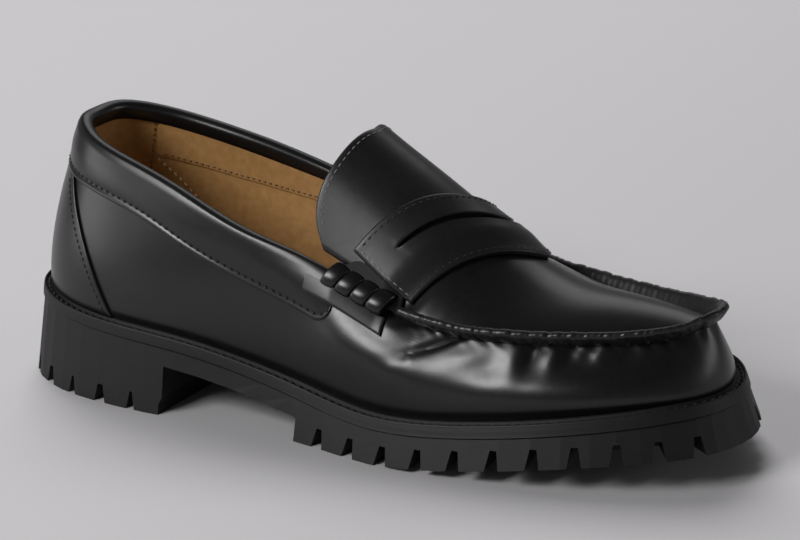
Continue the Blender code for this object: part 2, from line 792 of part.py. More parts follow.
# Heel counter: overlay round the heel, from the sole up to the band
counter_u = np.linspace(-1.0, 1.0, 27)
counter_v = np.linspace(0.0, 1.0, 7)
grid = np.zeros((len(counter_v), len(counter_u), 3))
normal = np.zeros_like(grid)
u_top = float(u_at(COUNTER_TOP * SOLE_LENGTH))
u_foot = float(np.interp(COUNTER_FOOT * SOLE_LENGTH, outline(FINE)[0], FINE))
for i, s in enumerate(counter_v):
    for j, side in enumerate(counter_u):
        u = side * (u_foot + (u_top - u_foot) * s ** 1.2)
        low = CLEARANCE / COLLAR_RISE
        high = float(band_foot(u)) - 2 * CLEARANCE / COLLAR_RISE
        grid[i, j], normal[i, j], _ = wall_frame(u, low + (high - low) * s)
slab("heel_counter", grid, normal, CLEARANCE, CLEARANCE + COUNTER_THICKNESS, BLACK_LEATHER)

def crease(point, side):
    """Inward direction along the apron and its outward normal, at its edge."""
    x = min(point[0], INSTEP_ROWS[-1][0] * SOLE_LENGTH - 0.5)
    near = instep(x, side * 0.9)
    inward = unit(near - point)
    if x > 0.955 * SOLE_LENGTH:
        inward = unit(instep(0.95 * SOLE_LENGTH, 0.0) - point)
    along = wall(np.array(loop_place(point, side)) + 0.003, 1.0) - wall(np.array(loop_place(point, side)) - 0.003, 1.0)
    over = unit(np.cross(inward, unit(along)))
    if over[2] < 0:
        over = -over
    return inward, over


def loop_place(point, side):
    return float(u_at(point[0], side > 0))


# Moc seam: the raised edge of the vamp gathered round the apron
start = float(u_at(SEAM_START * SOLE_LENGTH))
sections = []
for u in columns(start, 1.0 - start):
    point, out, up = wall_frame(u, 1.0)
    side = 1.0 if u > 0.5 else -1.0
    inward, over = crease(point, side)
    rise = unit(out + over)
    aside = unit(np.cross(rise, np.cross(rise, inward)))
    corner = CLEARANCE / max(0.5, float(rise @ out))
    tall = float(ring_spline(KNOTS, TOP_Z, u) - seat(outline(u)[0]))
    low, low_out, _ = wall_frame(u, 1.0 - SEAM_DROP / tall)
    sections.append([
        low + low_out * CLEARANCE * 1.2,
        low + low_out * (CLEARANCE + 0.30 * SEAM_WIDTH),
        point + aside * 0.56 * SEAM_WIDTH + rise * 0.42 * SEAM_HEIGHT,
        point + aside * 0.42 * SEAM_WIDTH + rise * 0.84 * SEAM_HEIGHT,
        point + rise * SEAM_HEIGHT,
        point - aside * 0.36 * SEAM_WIDTH + rise * 0.84 * SEAM_HEIGHT,
        point - aside * 0.52 * SEAM_WIDTH + rise * 0.45 * SEAM_HEIGHT,
        point + inward * 0.50 * SEAM_WIDTH + over * CLEARANCE * 1.3,
        point + rise * corner * 1.3])
tube("moc_seam", np.array(sections), BLACK_LEATHER)

# Tongue: stands up from under the strap
table = np.array(TONGUE_ROWS)
side = np.linspace(-1.0, 1.0, 15) * table[-1, 0]
rear = spline(table[:, 0], table[:, 1], np.abs(side)) * SOLE_LENGTH
front = spline(table[:, 0], table[:, 2], np.abs(side)) * SOLE_LENGTH
share = np.linspace(0.0, 1.0, 8)[:, None]
x = front[None, :] + (rear - front)[None, :] * share
grid, normal = instep_frame(x, side[None, :] + 0 * x)
slab("tongue", grid, normal, CLEARANCE, CLEARANCE + TONGUE_THICKNESS, BLACK_LEATHER)


def strap_rear(q):
    """Rear edge of the strap, furthest forward a little to the inner side."""
    past = q - STRAP_TURN
    sweep = np.where(past > 0, STRAP_SWEEP_INNER, STRAP_SWEEP_OUTER)
    return (STRAP_REAR - sweep * (np.sqrt(1 + (past / STRAP_BEND) ** 2) - 1)) * SOLE_LENGTH


# Saddle strap, over the tongue's foot and the apron
share = np.linspace(0.0, 1.0, 6)[:, None]
side = np.linspace(-1.0, 1.0, 21)[None, :] * (STRAP_SIDE_REAR + (STRAP_SIDE_FRONT - STRAP_SIDE_REAR) * share)
x = strap_rear(side) + STRAP_LENGTH * SOLE_LENGTH * share
grid, normal = instep_frame(x, side)
over_tongue = 2 * CLEARANCE + TONGUE_THICKNESS
settle = np.clip((share - 0.55) / 0.45, 0, 1)
lift = over_tongue - (over_tongue - 2 * CLEARANCE) * settle * settle * (3 - 2 * settle) + 0 * x
strap = slab("saddle_strap", grid[:, ::-1], normal[:, ::-1], lift, lift + STRAP_THICKNESS, BLACK_LEATHER)

# Slot across the strap, pointed at both ends
reach = np.linspace(-1.0, 1.0, 13)
half_slot = 0.5 * SLOT_WIDTH * np.sqrt(np.clip(1 - reach ** 2, 0, 1)) + 0.12
sections = []
for q, wide in zip(reach * SLOT_SIDE, half_slot):
    x = strap_rear(q) + STRAP_LENGTH * SOLE_LENGTH * SLOT_PLACE
    point, out = instep_frame(x, q)
    ahead = instep(x + 1.0, q) - instep(x - 1.0, q)
    ahead = unit(ahead)
    low = over_tongue - 0.5 * CLEARANCE
    high = over_tongue + STRAP_THICKNESS + 2.0
    sections.append([point + out * low - ahead * wide, point + out * low + ahead * wide,
                     point + out * high + ahead * wide, point + out * high - ahead * wide])
slot = tube("slot_cutter", np.array(sections), BLACK_LEATHER)
slot.hide_render = True
slot.display_type = "WIRE"
cut(strap, slot)

# Beef rolls and the tab under each, at both ends of the strap
for inner, name in ((False, "outer"), (True, "inner")):
    from_u = float(u_at(ROLL_START * SOLE_LENGTH, inner))
    to_u = float(u_at(ROLL_END * SOLE_LENGTH, inner))
    steps = WRAP_COUNT * 4
    sections = []
    for i in range(steps + 1):
        share = i / steps
        u = from_u + (to_u - from_u) * share
        point, out, up = wall_frame(u, 1.0)
        lobe = abs(np.sin(np.pi * share * WRAP_COUNT)) ** 0.6
        radius = ROLL_RADIUS - ROLL_SWELL * (1 - lobe)
        centre = point + out * (ROLL_RADIUS + 2 * CLEARANCE)
        angles = np.arange(10) / 10 * 2 * np.pi
        sections.append([centre + radius * (np.cos(a) * out + np.sin(a) * up) for a in angles])
    sections = np.array(sections)
    if not inner:
        sections = sections[::-1]
    tube("beef_roll_" + name, sections, BLACK_LEATHER)
    grid = np.zeros((3, 7, 3))
    normal = np.zeros_like(grid)
    low = np.zeros((3, 7))
    for j, share in enumerate(np.linspace(-0.32, 1.0, 7)):
        u = from_u + (to_u - from_u) * share
        tall = float(ring_spline(KNOTS, TOP_Z, u) - seat(outline(u)[0]))
        for i, s in enumerate((0.0, 0.5, 1.0)):
            v = 1.0 - (ROLL_RADIUS + 3 * CLEARANCE + TAB_WIDTH * (1 - s)) / tall
            grid[i, j], normal[i, j], _ = wall_frame(plumb(u, v), v)
            low[i, j] = 1.5 * CLEARANCE + (BAND_THICKNESS + 3 * CLEARANCE) * np.clip(1.2 - 1.4 * max(share, 0), 0, 1)
    if inner:
        grid = grid[:, ::-1]
        normal = normal[:, ::-1]
        low = low[:, ::-1]
    slab("roll_tab_" + name, grid, normal, low, low + TAB_THICKNESS, BLACK_LEATHER)
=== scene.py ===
"""Dressed scene of the chunky lug sole loafer, right shoe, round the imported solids.

+X points to the toe, +Y to the inner side of the foot and +Z up. Forms are
worked out in millimetres from the heel's back edge, as the solids are.
"""

import math

import bmesh
import bpy
import numpy as np
from mathutils import Matrix, Vector


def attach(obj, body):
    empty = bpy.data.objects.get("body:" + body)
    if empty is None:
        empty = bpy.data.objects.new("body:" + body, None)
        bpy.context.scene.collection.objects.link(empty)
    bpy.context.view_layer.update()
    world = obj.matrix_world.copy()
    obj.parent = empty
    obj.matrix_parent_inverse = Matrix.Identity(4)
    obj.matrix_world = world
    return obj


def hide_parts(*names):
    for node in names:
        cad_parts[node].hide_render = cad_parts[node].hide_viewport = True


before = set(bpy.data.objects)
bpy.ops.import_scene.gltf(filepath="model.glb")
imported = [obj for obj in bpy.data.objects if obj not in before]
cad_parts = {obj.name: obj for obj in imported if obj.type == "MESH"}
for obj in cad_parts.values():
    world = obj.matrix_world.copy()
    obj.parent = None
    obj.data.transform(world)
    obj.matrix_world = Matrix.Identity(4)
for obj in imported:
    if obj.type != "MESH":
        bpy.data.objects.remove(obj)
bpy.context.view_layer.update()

MM = 0.001

# Sole
SOLE_LENGTH = 300.0
BALL_WIDTH = 104.0
TOE_SWING = 2.6
HEEL_HEIGHT = 36.5
TOE_SPRING = 13.0
SOLE_FLARE = 5.0
MIDSOLE_THICKNESS = 4.7
WELT_MARGIN = 5.0
INSOLE_THICKNESS = 3.0

# Upper
COLLAR_RISE = 62.5
INSTEP_RISE = 44.0
UPPER_WALL = 2.0

# Pieces on the upper
CLEARANCE = 0.3
BAND_HEIGHT = 20.0
BAND_THICKNESS = 1.9
BAND_LIP = 4.5
COUNTER_THICKNESS = 1.0
TONGUE_THICKNESS = 2.2
STRAP_THICKNESS = 2.0
SLOT_WIDTH = 2.6
SEAM_HEIGHT = 4.6
SEAM_WIDTH = 3.4
ROLL_RADIUS = 3.9
WRAP_COUNT = 4
TAB_WIDTH = 6.5
TAB_THICKNESS = 1.6

# Loop stations, from the heel's back to the toe tip, one row for each.
# along, outer and inner place the sole's top edge (shares of SOLE_LENGTH and
# BALL_WIDTH), seat is its height (share of HEEL_HEIGHT) and margin the welt
# left outside the upper (share of WELT_MARGIN).
#   along  outer   inner   seat   margin
SOLE_ROWS = (
    (0.00, 0.000, 0.000, 1.000, 0.86),
    (0.02, 0.231, 0.212, 0.992, 0.86),
    (0.07, 0.366, 0.313, 0.958, 0.88),
    (0.16, 0.441, 0.360, 0.898, 0.92),
    (0.30, 0.449, 0.351, 0.815, 0.92),
    (0.45, 0.432, 0.346, 0.578, 0.88),
    (0.58, 0.494, 0.437, 0.462, 0.98),
    (0.70, 0.500, 0.519, 0.538, 1.05),
    (0.82, 0.450, 0.505, 0.680, 1.05),
    (0.92, 0.336, 0.385, 0.795, 0.98),
    (0.98, 0.186, 0.187, 0.850, 0.86),
    (1.00, 0.000, 0.000, 0.855, 0.80),
)

# The wall's upper edge at the same stations: collar, then the long seam round
# the apron. rise is its height over the sole's edge (share of COLLAR_RISE).
# lean says how late the wall turns in, bulge how far it swells (share of
# BALL_WIDTH).
#   along   outer   inner   rise   lean  bulge
TOP_ROWS = (
    (0.0650, 0.000, 0.000, 1.035, 1.40, 0.010),
    (0.0755, 0.125, 0.130, 1.034, 1.40, 0.011),
    (0.1150, 0.224, 0.234, 0.995, 1.35, 0.016),
    (0.2057, 0.293, 0.298, 0.926, 1.30, 0.026),
    (0.3033, 0.343, 0.348, 0.840, 1.30, 0.028),
    (0.3933, 0.365, 0.370, 0.847, 1.30, 0.028),
    (0.4900, 0.351, 0.351, 0.781, 1.60, 0.030),
    (0.6100, 0.358, 0.358, 0.528, 2.00, 0.032),
    (0.7333, 0.341, 0.318, 0.387, 2.30, 0.034),
    (0.8350, 0.258, 0.234, 0.328, 2.00, 0.022),
    (0.9333, 0.132, 0.118, 0.350, 1.60, 0.006),
    (0.9655, 0.000, 0.000, 0.392, 1.50, 0.003),
)

# Middle line of the instep and apron: rise over the seam beside it.
#   along   rise (share of INSTEP_RISE)
INSTEP_ROWS = (
    (0.400, 1.250),
    (0.467, 1.055),
    (0.523, 0.950),
    (0.567, 0.880),
    (0.603, 0.795),
    (0.667, 0.589),
    (0.710, 0.448),
    (0.740, 0.355),
    (0.783, 0.277),
    (0.833, 0.239),
    (0.883, 0.186),
    (0.920, 0.120),
    (0.965, 0.000),
)

# Lower edge of the collar band: depth below the topline.
#   along   depth (share of BAND_HEIGHT)
BAND_ROWS = (
    (0.060, 0.85),
    (0.110, 0.80),
    (0.200, 0.74),
    (0.300, 0.86),
    (0.400, 0.98),
    (0.500, 1.03),
)

# Ends of the tongue on the instep, from its middle to its side.
#   side   rear    front (shares of SOLE_LENGTH)
TONGUE_ROWS = (
    (0.00, 0.493, 0.655),
    (0.29, 0.484, 0.640),
    (0.49, 0.476, 0.622),
    (0.68, 0.468, 0.598),
    (0.79, 0.468, 0.584),
    (0.87, 0.476, 0.572),
    (0.93, 0.488, 0.563),
)

THROAT_SIDE = 0.50
THROAT_MIDDLE = 0.093
THROAT_FADE = 0.71
BAND_END = 0.495
SEAM_START = 0.600
ROLL_START = 0.503
ROLL_END = 0.590
STRAP_SIDE_REAR = 0.85
STRAP_SIDE_FRONT = 0.93
STRAP_REAR = 0.624
STRAP_LENGTH = 0.096
STRAP_TURN = 0.35
STRAP_SWEEP_OUTER = 0.0513
STRAP_SWEEP_INNER = 0.120
STRAP_BEND = 0.45
SLOT_PLACE = 0.39
SLOT_SIDE = 0.70
SPRING_START = 0.593
COUNTER_TOP = 0.096
COUNTER_FOOT = 0.172

COLUMNS = 72

# Small step round the loop, for directions
NEAR = 0.002


def cubic(values, bend, i, j, h, b):
    """Curve from row i to row j of the values, b of the way along a step of h."""
    a = 1.0 - b
    return (a * values[i] + b * values[j]
            + ((a ** 3 - a) * bend[i] + (b ** 3 - b) * bend[j]) * h * h / 6)


def spline(knots, values, where):
    """Natural cubic curve through the rows of values."""
    n = len(knots)
    step = np.diff(knots)
    left = np.eye(n)
    right = np.zeros(n)
    for i in range(1, n - 1):
        left[i, i - 1] = step[i - 1]
        left[i, i] = 2 * (step[i - 1] + step[i])
        left[i, i + 1] = step[i]
        right[i] = 6 * ((values[i + 1] - values[i]) / step[i]
                        - (values[i] - values[i - 1]) / step[i - 1])
    bend = np.linalg.solve(left, right)
    where = np.asarray(where, float)
    i = np.clip(np.searchsorted(knots, where) - 1, 0, n - 2)
    return cubic(values, bend, i, i + 1, step[i], (where - knots[i]) / step[i])


def ring_spline(knots, values, where):
    """Closed cubic curve: knots run from 0 to 1, where the curve closes."""
    n = len(knots)
    step = np.diff(np.append(knots, 1.0))
    left = np.zeros((n, n))
    right = np.zeros(n)
    for i in range(n):
        before = (i - 1) % n
        after = (i + 1) % n
        left[i, before] += step[before]
        left[i, i] += 2 * (step[before] + step[i])
        left[i, after] += step[i]
        right[i] = 6 * ((values[after] - values[i]) / step[i]
                        - (values[i] - values[before]) / step[before])
    bend = np.linalg.solve(left, right)
    where = np.mod(np.asarray(where, float), 1.0)
    i = np.clip(np.searchsorted(knots, where, side="right") - 1, 0, n - 1)
    return cubic(values, bend, i, (i + 1) % n, step[i], (where - knots[i]) / step[i])


def both_sides(outer, inner):
    """A column of the loop: outer side to the toe, inner side back."""
    return np.concatenate([outer, inner[-2:0:-1]])


def swing(x):
    """Sideways turn of the toe towards the inner side of the foot."""
    t = np.clip((x / SOLE_LENGTH - 0.62) / 0.38, 0, 1)
    return TOE_SWING * t * t


SOLE = np.array(SOLE_ROWS)
TOP = np.array(TOP_ROWS)
INSTEP = np.array(INSTEP_ROWS)

SOLE_X = both_sides(SOLE[:, 0], SOLE[:, 0]) * SOLE_LENGTH
SOLE_Y = both_sides(-SOLE[:, 1], SOLE[:, 2]) * BALL_WIDTH + swing(SOLE_X)
SEAT_Z = both_sides(SOLE[:, 3], SOLE[:, 3]) * HEEL_HEIGHT
MARGIN = both_sides(SOLE[:, 4], SOLE[:, 4]) * WELT_MARGIN
TOP_X = both_sides(TOP[:, 0], TOP[:, 0]) * SOLE_LENGTH
TOP_Y = both_sides(-TOP[:, 1], TOP[:, 2]) * BALL_WIDTH + swing(TOP_X)
TOP_Z = SEAT_Z + both_sides(TOP[:, 3], TOP[:, 3]) * COLLAR_RISE
LEAN = both_sides(TOP[:, 4], TOP[:, 4])
BULGE = both_sides(TOP[:, 5], TOP[:, 5]) * BALL_WIDTH


def loop_knots():
    """Distances round the sole, made equal for the two sides."""
    reach = np.hypot(np.diff(np.append(SOLE_X, SOLE_X[0])),
                     np.diff(np.append(SOLE_Y, SOLE_Y[0])))
    even = 0.5 * (reach + reach[::-1])
    return np.concatenate([[0.0], np.cumsum(even)[:-1]]) / even.sum()


KNOTS = loop_knots()


def outline(u):
    """Sole's top edge in plan and its outward direction."""
    x = ring_spline(KNOTS, SOLE_X, u)
    y = ring_spline(KNOTS, SOLE_Y, u)
    dx = ring_spline(KNOTS, SOLE_X, u + NEAR) - ring_spline(KNOTS, SOLE_X, u - NEAR)
    dy = ring_spline(KNOTS, SOLE_Y, u + NEAR) - ring_spline(KNOTS, SOLE_Y, u - NEAR)
    size = np.hypot(dx, dy)
    return x, y, dy / size, -dx / size


def seat(x):
    """Height of the sole's top surface at a length."""
    return spline(SOLE[:, 0] * SOLE_LENGTH, SOLE[:, 3] * HEEL_HEIGHT, np.clip(x, 0, SOLE_LENGTH))


def spring(x):
    """Height of the tread's lowest surface at a length."""
    start = SPRING_START * SOLE_LENGTH
    t = np.clip((x - start) / (SOLE_LENGTH - start), 0, 1)
    return TOE_SPRING * np.sin(0.5 * np.pi * t) ** 1.4


def wall(u, v):
    """Outer surface of the upper's wall: u round the shoe, v from sole to top edge."""
    x, y, nx, ny = outline(u)
    margin = ring_spline(KNOTS, MARGIN, u)
    foot_x = x - nx * margin
    foot_y = y - ny * margin
    foot_z = seat(x) + CLEARANCE
    top_x = ring_spline(KNOTS, TOP_X, u)
    top_y = ring_spline(KNOTS, TOP_Y, u)
    top_z = ring_spline(KNOTS, TOP_Z, u)
    lean = ring_spline(KNOTS, LEAN, u)
    swell = ring_spline(KNOTS, BULGE, u) * np.sin(np.pi * np.clip(v, 0, 1) ** 0.8)
    turn = np.clip(v, 0, None) ** lean
    px = foot_x + (top_x - foot_x) * turn + nx * swell
    py = foot_y + (top_y - foot_y) * turn + ny * swell
    pz = foot_z + (top_z - foot_z) * v
    return np.stack([px, py, pz], axis=-1)


def unit(a):
    """Directions with a length of one."""
    return a / np.maximum(np.linalg.norm(a, axis=-1, keepdims=True), 1e-9)


def wall_frame(u, v):
    """Point, outward direction and upward direction of the wall."""
    v = np.clip(v, 0.0, 1.0)
    across = wall(u + NEAR, v) - wall(u - NEAR, v)
    low = np.clip(v - 0.02, 0, 1)
    high = np.clip(v + 0.02, 0, 1)
    up = wall(u, high) - wall(u, low)
    return wall(u, v), unit(np.cross(across, up)), unit(up)


FINE = np.linspace(0.0, 0.5, 400)
OUTER_EDGE = wall(FINE, 1.0)
INNER_EDGE = wall(1.0 - FINE, 1.0)


def edge_at(x, inner):
    """Half width and height of the top edge at a length, on one side."""
    edge = INNER_EDGE if inner else OUTER_EDGE
    width = np.interp(x, edge[:, 0], np.abs(edge[:, 1] - swing(edge[:, 0])))
    height = np.interp(x, edge[:, 0], edge[:, 2])
    return width, height


def u_at(x, inner=False):
    """Place round the loop where the top edge reaches a length."""
    edge = INNER_EDGE if inner else OUTER_EDGE
    u = np.interp(x, edge[:, 0], FINE)
    return 1.0 - u if inner else u


def instep(x, q):
    """Surface over the foot: q is -1 at the outer seam, 0 in the middle, 1 at the inner."""
    outer_w, outer_z = edge_at(x, False)
    inner_w, inner_z = edge_at(x, True)
    share = 0.5 + 0.5 * q
    edge_z = outer_z * (1 - share) + inner_z * share
    rise = INSTEP_RISE * spline(INSTEP[:, 0], INSTEP[:, 1], np.clip(x / SOLE_LENGTH, 0.38, INSTEP[-1, 0]))
    y = np.where(q < 0, q * outer_w, q * inner_w) + swing(x)
    z = edge_z + rise * (1 - np.abs(q) ** 2.0)
    return np.stack([x + 0 * q, y, z], axis=-1)


def instep_frame(x, q):
    """Point and upward direction of the surface over the foot."""
    along = instep(x + 0.8, q) - instep(x - 0.8, q)
    across = instep(x, q + 0.01) - instep(x, q - 0.01)
    return instep(x, q), unit(np.cross(along, across))


def ring(u, out, height):
    """Points at a distance out from the sole's top edge in plan, at a height."""
    x, y, nx, ny = outline(u)
    return np.stack([x + nx * out, y + ny * out, height], axis=-1)


def spread(t):
    """Even steps drawn together at the heel and the toe, where the loop turns."""
    return t - 0.45 * np.sin(4 * np.pi * t) / (4 * np.pi)


def side_out(x, share):
    """How far the sole's side stands out at a share of its height."""
    toe = np.clip((x / SOLE_LENGTH - 0.3) / 0.5, 0, 1)
    return SOLE_FLARE * share * (0.95 + 0.15 * toe)


# Middle of the tread's rim, the shoe's widest loop, which becomes the origin
ROUND = spread(np.arange(COLUMNS) / COLUMNS)
ROUND_X = outline(ROUND)[0]
RIM = ring(ROUND, side_out(ROUND_X, 1.0), spring(ROUND_X))
MIDDLE_X, MIDDLE_Y = 0.5 * (RIM[:, :2].min(axis=0) + RIM[:, :2].max(axis=0))


def side_share(x):
    """Share of the sole's side that the midsole takes."""
    return MIDSOLE_THICKNESS / (seat(x) - spring(x))


ORIGIN = np.array([MIDDLE_X, MIDDLE_Y, 0.0])


def smooth(a, b, t):
    """Rises from 0 at a to 1 at b."""
    s = np.clip((t - a) / (b - a), 0, 1)
    return s * s * (3 - 2 * s)


def piece(name, points, faces, look, nodes=(), angle=40.0):
    """A mesh piece in the row's frame, riding on the shoe."""
    mesh = bpy.data.meshes.new(name)
    points = (np.asarray(points, float).reshape(-1, 3) - ORIGIN) * MM
    mesh.from_pydata(points.tolist(), [], [list(map(int, f)) for f in faces])
    shape = bmesh.new()
    shape.from_mesh(mesh)
    bmesh.ops.remove_doubles(shape, verts=shape.verts, dist=1e-6)
    bmesh.ops.recalc_face_normals(shape, faces=shape.faces)
    shape.to_mesh(mesh)
    shape.free()
    mesh.materials.append(look)
    mesh.shade_smooth()
    mesh.set_sharp_from_angle(angle=math.radians(angle))
    made = bpy.data.objects.new(name, mesh)
    bpy.context.scene.collection.objects.link(made)
    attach(made, "root")
    if nodes:
        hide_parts(*nodes)


def grid_faces(rows, cells, start=0, wrap=False):
    """Four-cornered faces of a grid of points, closed round its rows by wrap."""
    i = np.arange(rows - 1)[:, None]
    j = np.arange(cells if wrap else cells - 1)[None, :]
    k = (j + 1) % cells
    a = start + i * cells + j
    b = start + i * cells + k
    c = start + (i + 1) * cells + k
    d = start + (i + 1) * cells + j
    return np.stack([a, b, c, d], axis=-1).reshape(-1, 4)


def shell(name, points, normals, low, high, look, nodes=(), wrap=False):
    """Closed sheet between two offsets of a grid of points."""
    rows, cells = points.shape[:2]
    low = np.broadcast_to(np.asarray(low, float), (rows, cells))[..., None]
    high = np.broadcast_to(np.asarray(high, float), (rows, cells))[..., None]
    over = (points + normals * high).reshape(-1, 3)
    under = (points + normals * low).reshape(-1, 3)
    n = rows * cells
    faces = grid_faces(rows, cells, 0, wrap).tolist()
    faces += grid_faces(rows, cells, n, wrap)[:, ::-1].tolist()
    if wrap:
        rims = [list(range(cells)), list(range(n - cells, n))[::-1]]
    else:
        rim = list(range(cells))
        rim += [i * cells + cells - 1 for i in range(1, rows)]
        rim += [(rows - 1) * cells + j for j in range(cells - 2, -1, -1)]
        rim += [i * cells for i in range(rows - 2, 0, -1)]
        rims = [rim]
    for rim in rims:
        for a, b in zip(rim, rim[1:] + rim[:1]):
            faces.append((b, a, n + a, n + b))
    piece(name, np.concatenate([over, under]), faces, look, nodes)


def loft(name, rings, look, nodes, angle):
    """Solid through a row of closed sections, capped with a fan at each end."""
    rows, corners = rings.shape[:2]
    faces = grid_faces(rows, corners, 0, True).tolist()
    count = rows * corners
    for j in range(corners):
        k = (j + 1) % corners
        faces.append((j, k, count))
        faces.append((count - corners + k, count - corners + j, count + 1))
    middles = [rings[0].mean(axis=0), rings[-1].mean(axis=0)]
    points = np.concatenate([rings.reshape(-1, 3), middles])
    piece(name, points, faces, look, nodes=nodes, angle=angle)


# Distances of the extra steps beside a rounded rim
RIM_STEPS = (0.2, 0.6, 1.2)


def ends(count, length):
    """Even steps from 0 to 1 with extra ones close to both ends, for rounded rims."""
    near = [r / length for r in RIM_STEPS]
    t = np.linspace(0, 1, count)
    t = t[(t > near[-1] * 1.3) & (t < 1 - near[-1] * 1.3)]
    return np.concatenate([[0], near, t, [1 - a for a in near[::-1]], [1]])


def spread_ends(first, last, count, near=0.0012):
    """Steps between two places with a few drawn close to each end."""
    t = np.linspace(first, last, count)
    extra = np.array([0.15, 0.4, 0.8, 1.4]) * near
    return np.unique(np.concatenate([t, first + extra, last - extra]))


def rounded(distance, radius):
    """Share of the full height at a distance from a rounded rim."""
    t = np.clip(1 - distance / radius, 0, 1)
    return 0.45 + 0.55 * np.sqrt(np.clip(1 - t * t, 0, 1))


def along_line(points):
    """Distance along a row of points."""
    return np.concatenate([[0.0], np.cumsum(np.linalg.norm(np.diff(points, axis=0), axis=1))])


def at_distance(values, s, where):
    """Values of a row of points at distances along it."""
    return np.stack([np.interp(where, s, values[:, k]) for k in range(3)], axis=-1)


# Sections along one short thread, and corners round it
THREAD_CELLS = 6


def thread_faces(count):
    """Faces of short closed threads, one after another."""
    size = THREAD_CELLS * THREAD_CELLS
    body = grid_faces(THREAD_CELLS, THREAD_CELLS, 0, True)
    faces = []
    for start in range(0, count * size, size):
        faces += (body + start).tolist()
        faces.append([start + j for j in range(THREAD_CELLS)][::-1])
        faces.append([start + size - THREAD_CELLS + j for j in range(THREAD_CELLS)])
    return faces


def stitches(name, points, normals, pitch, length, radius, sink, look):
    """Row of sewn stitches on a line: short threads that dive in at both ends."""
    normals = unit(normals)
    s = along_line(points)
    count = max(1, int(s[-1] / pitch))
    start = 0.5 * (s[-1] - (count - 1) * pitch)
    t = np.linspace(-0.5, 0.5, THREAD_CELLS)
    a = np.arange(THREAD_CELLS) / THREAD_CELLS * 2 * np.pi
    lift = radius * (1.1 * np.cos(np.pi * t) ** 0.6 - sink)
    thick = radius * (0.45 + 0.55 * np.cos(np.pi * t) ** 0.5)
    wide = thick[:, None] * np.cos(a)
    tall = lift[:, None] + thick[:, None] * 0.8 * np.sin(a)
    rings = []
    for i in range(count):
        where = start + i * pitch + t * length
        base = at_distance(points, s, where)[:, None, :]
        out = unit(at_distance(normals, s, where))[:, None, :]
        side = unit(np.cross(out, unit(base[-1] - base[0])))
        rings.append(base + out * tall[..., None] + side * wide[..., None])
    piece(name, rings, thread_faces(count), look, (), 60.0)


def nodes_of(name):
    """A new material with its node tree and shader."""
    made = bpy.data.materials.new(name)
    made.use_nodes = True
    tree = made.node_tree
    return made, tree, tree.nodes["Principled BSDF"]


def add_node(tree, kind, wires, values):
    """A shader node with its sockets wired or set."""
    node = tree.nodes.new(kind)
    for socket, wire in wires.items():
        tree.links.new(wire, node.inputs[socket])
    for socket, value in values.items():
        node.inputs[socket].default_value = value
    return node


def noise(tree, vector, scale, detail=2.0, roughness=0.5):
    """Cloudy values round a half."""
    values = {"Scale": scale, "Detail": detail, "Roughness": roughness}
    return add_node(tree, "ShaderNodeTexNoise", {"Vector": vector}, values).outputs["Fac"]


def cells(tree, vector, scale):
    """Soft cells, for pores."""
    node = add_node(tree, "ShaderNodeTexVoronoi", {"Vector": vector}, {"Scale": scale})
    node.feature = "SMOOTH_F1"
    node.inputs["Smoothness"].default_value = 0.6
    return node.outputs["Distance"]


def place(tree, scale=(1, 1, 1)):
    """Object coordinates in millimetres."""
    source = tree.nodes.new("ShaderNodeTexCoord").outputs["Object"]
    size = [1000.0 * s for s in scale]
    return add_node(tree, "ShaderNodeMapping", {"Vector": source}, {"Scale": size}).outputs["Vector"]


# Values between which ramp and tint go from one end to the other
FROM_LOW = 0.3
FROM_HIGH = 0.7


def ramp(tree, value, low, high):
    """A value stretched to run from low to high."""
    values = {"From Min": FROM_LOW, "From Max": FROM_HIGH, "To Min": low, "To Max": high}
    return add_node(tree, "ShaderNodeMapRange", {"Value": value}, values).outputs["Result"]


def tint(tree, value, dark, light):
    """A colour between two for a value."""
    node = add_node(tree, "ShaderNodeValToRGB", {"Fac": value}, {})
    for end, position, colour in zip(node.color_ramp.elements, (FROM_LOW, FROM_HIGH), (dark, light)):
        end.position = position
        end.color = (*colour, 1)
    return node.outputs["Color"]


def bump(tree, height, depth, strength, before=None):
    """Fine relief, depth in millimetres, on top of the one before."""
    wires = {"Height": height} if before is None else {"Height": height, "Normal": before}
    values = {"Strength": strength, "Distance": depth * MM}
    return add_node(tree, "ShaderNodeBump", wires, values).outputs["Normal"]


def leather(name, dark, light, rough, grain, waves, level):
    """Leather with broad unevenness, pores, fine grain and uneven polish."""
    made, tree, shader = nodes_of(name)
    spot = place(tree)
    mottle = noise(tree, spot, 0.3, 5.0, 0.6)
    polish = noise(tree, spot, 0.55, 4.0, 0.65)
    tree.links.new(tint(tree, mottle, dark, light), shader.inputs["Base Color"])
    tree.links.new(ramp(tree, polish, rough - 0.02, rough + 0.02), shader.inputs["Roughness"])
    normal = bump(tree, noise(tree, spot, 0.09), waves * 6.0, 0.4)
    normal = bump(tree, noise(tree, spot, 1.6, 4.0, 0.6), grain, 0.6, normal)
    normal = bump(tree, cells(tree, spot, 2.4), grain * 0.8, 0.5, normal)
    tree.links.new(normal, shader.inputs["Normal"])
    shader.inputs["Specular IOR Level"].default_value = level
    return made


def rubber(name, rough, stretch):
    """Moulded rubber with fine brushed lines along the sole."""
    made, tree, shader = nodes_of(name)
    lines = noise(tree, place(tree, stretch), 1.0, 4.0, 0.65)
    specks = noise(tree, place(tree), 2.5, 3.0, 0.6)
    tree.links.new(tint(tree, lines, RUBBER_DARK, RUBBER_LIGHT), shader.inputs["Base Color"])
    tree.links.new(ramp(tree, specks, rough - 0.06, rough + 0.06), shader.inputs["Roughness"])
    normal = bump(tree, lines, 0.06, 0.5)
    normal = bump(tree, specks, 0.05, 0.5, normal)
    tree.links.new(normal, shader.inputs["Normal"])
    shader.inputs["Specular IOR Level"].default_value = 0.29
    return made


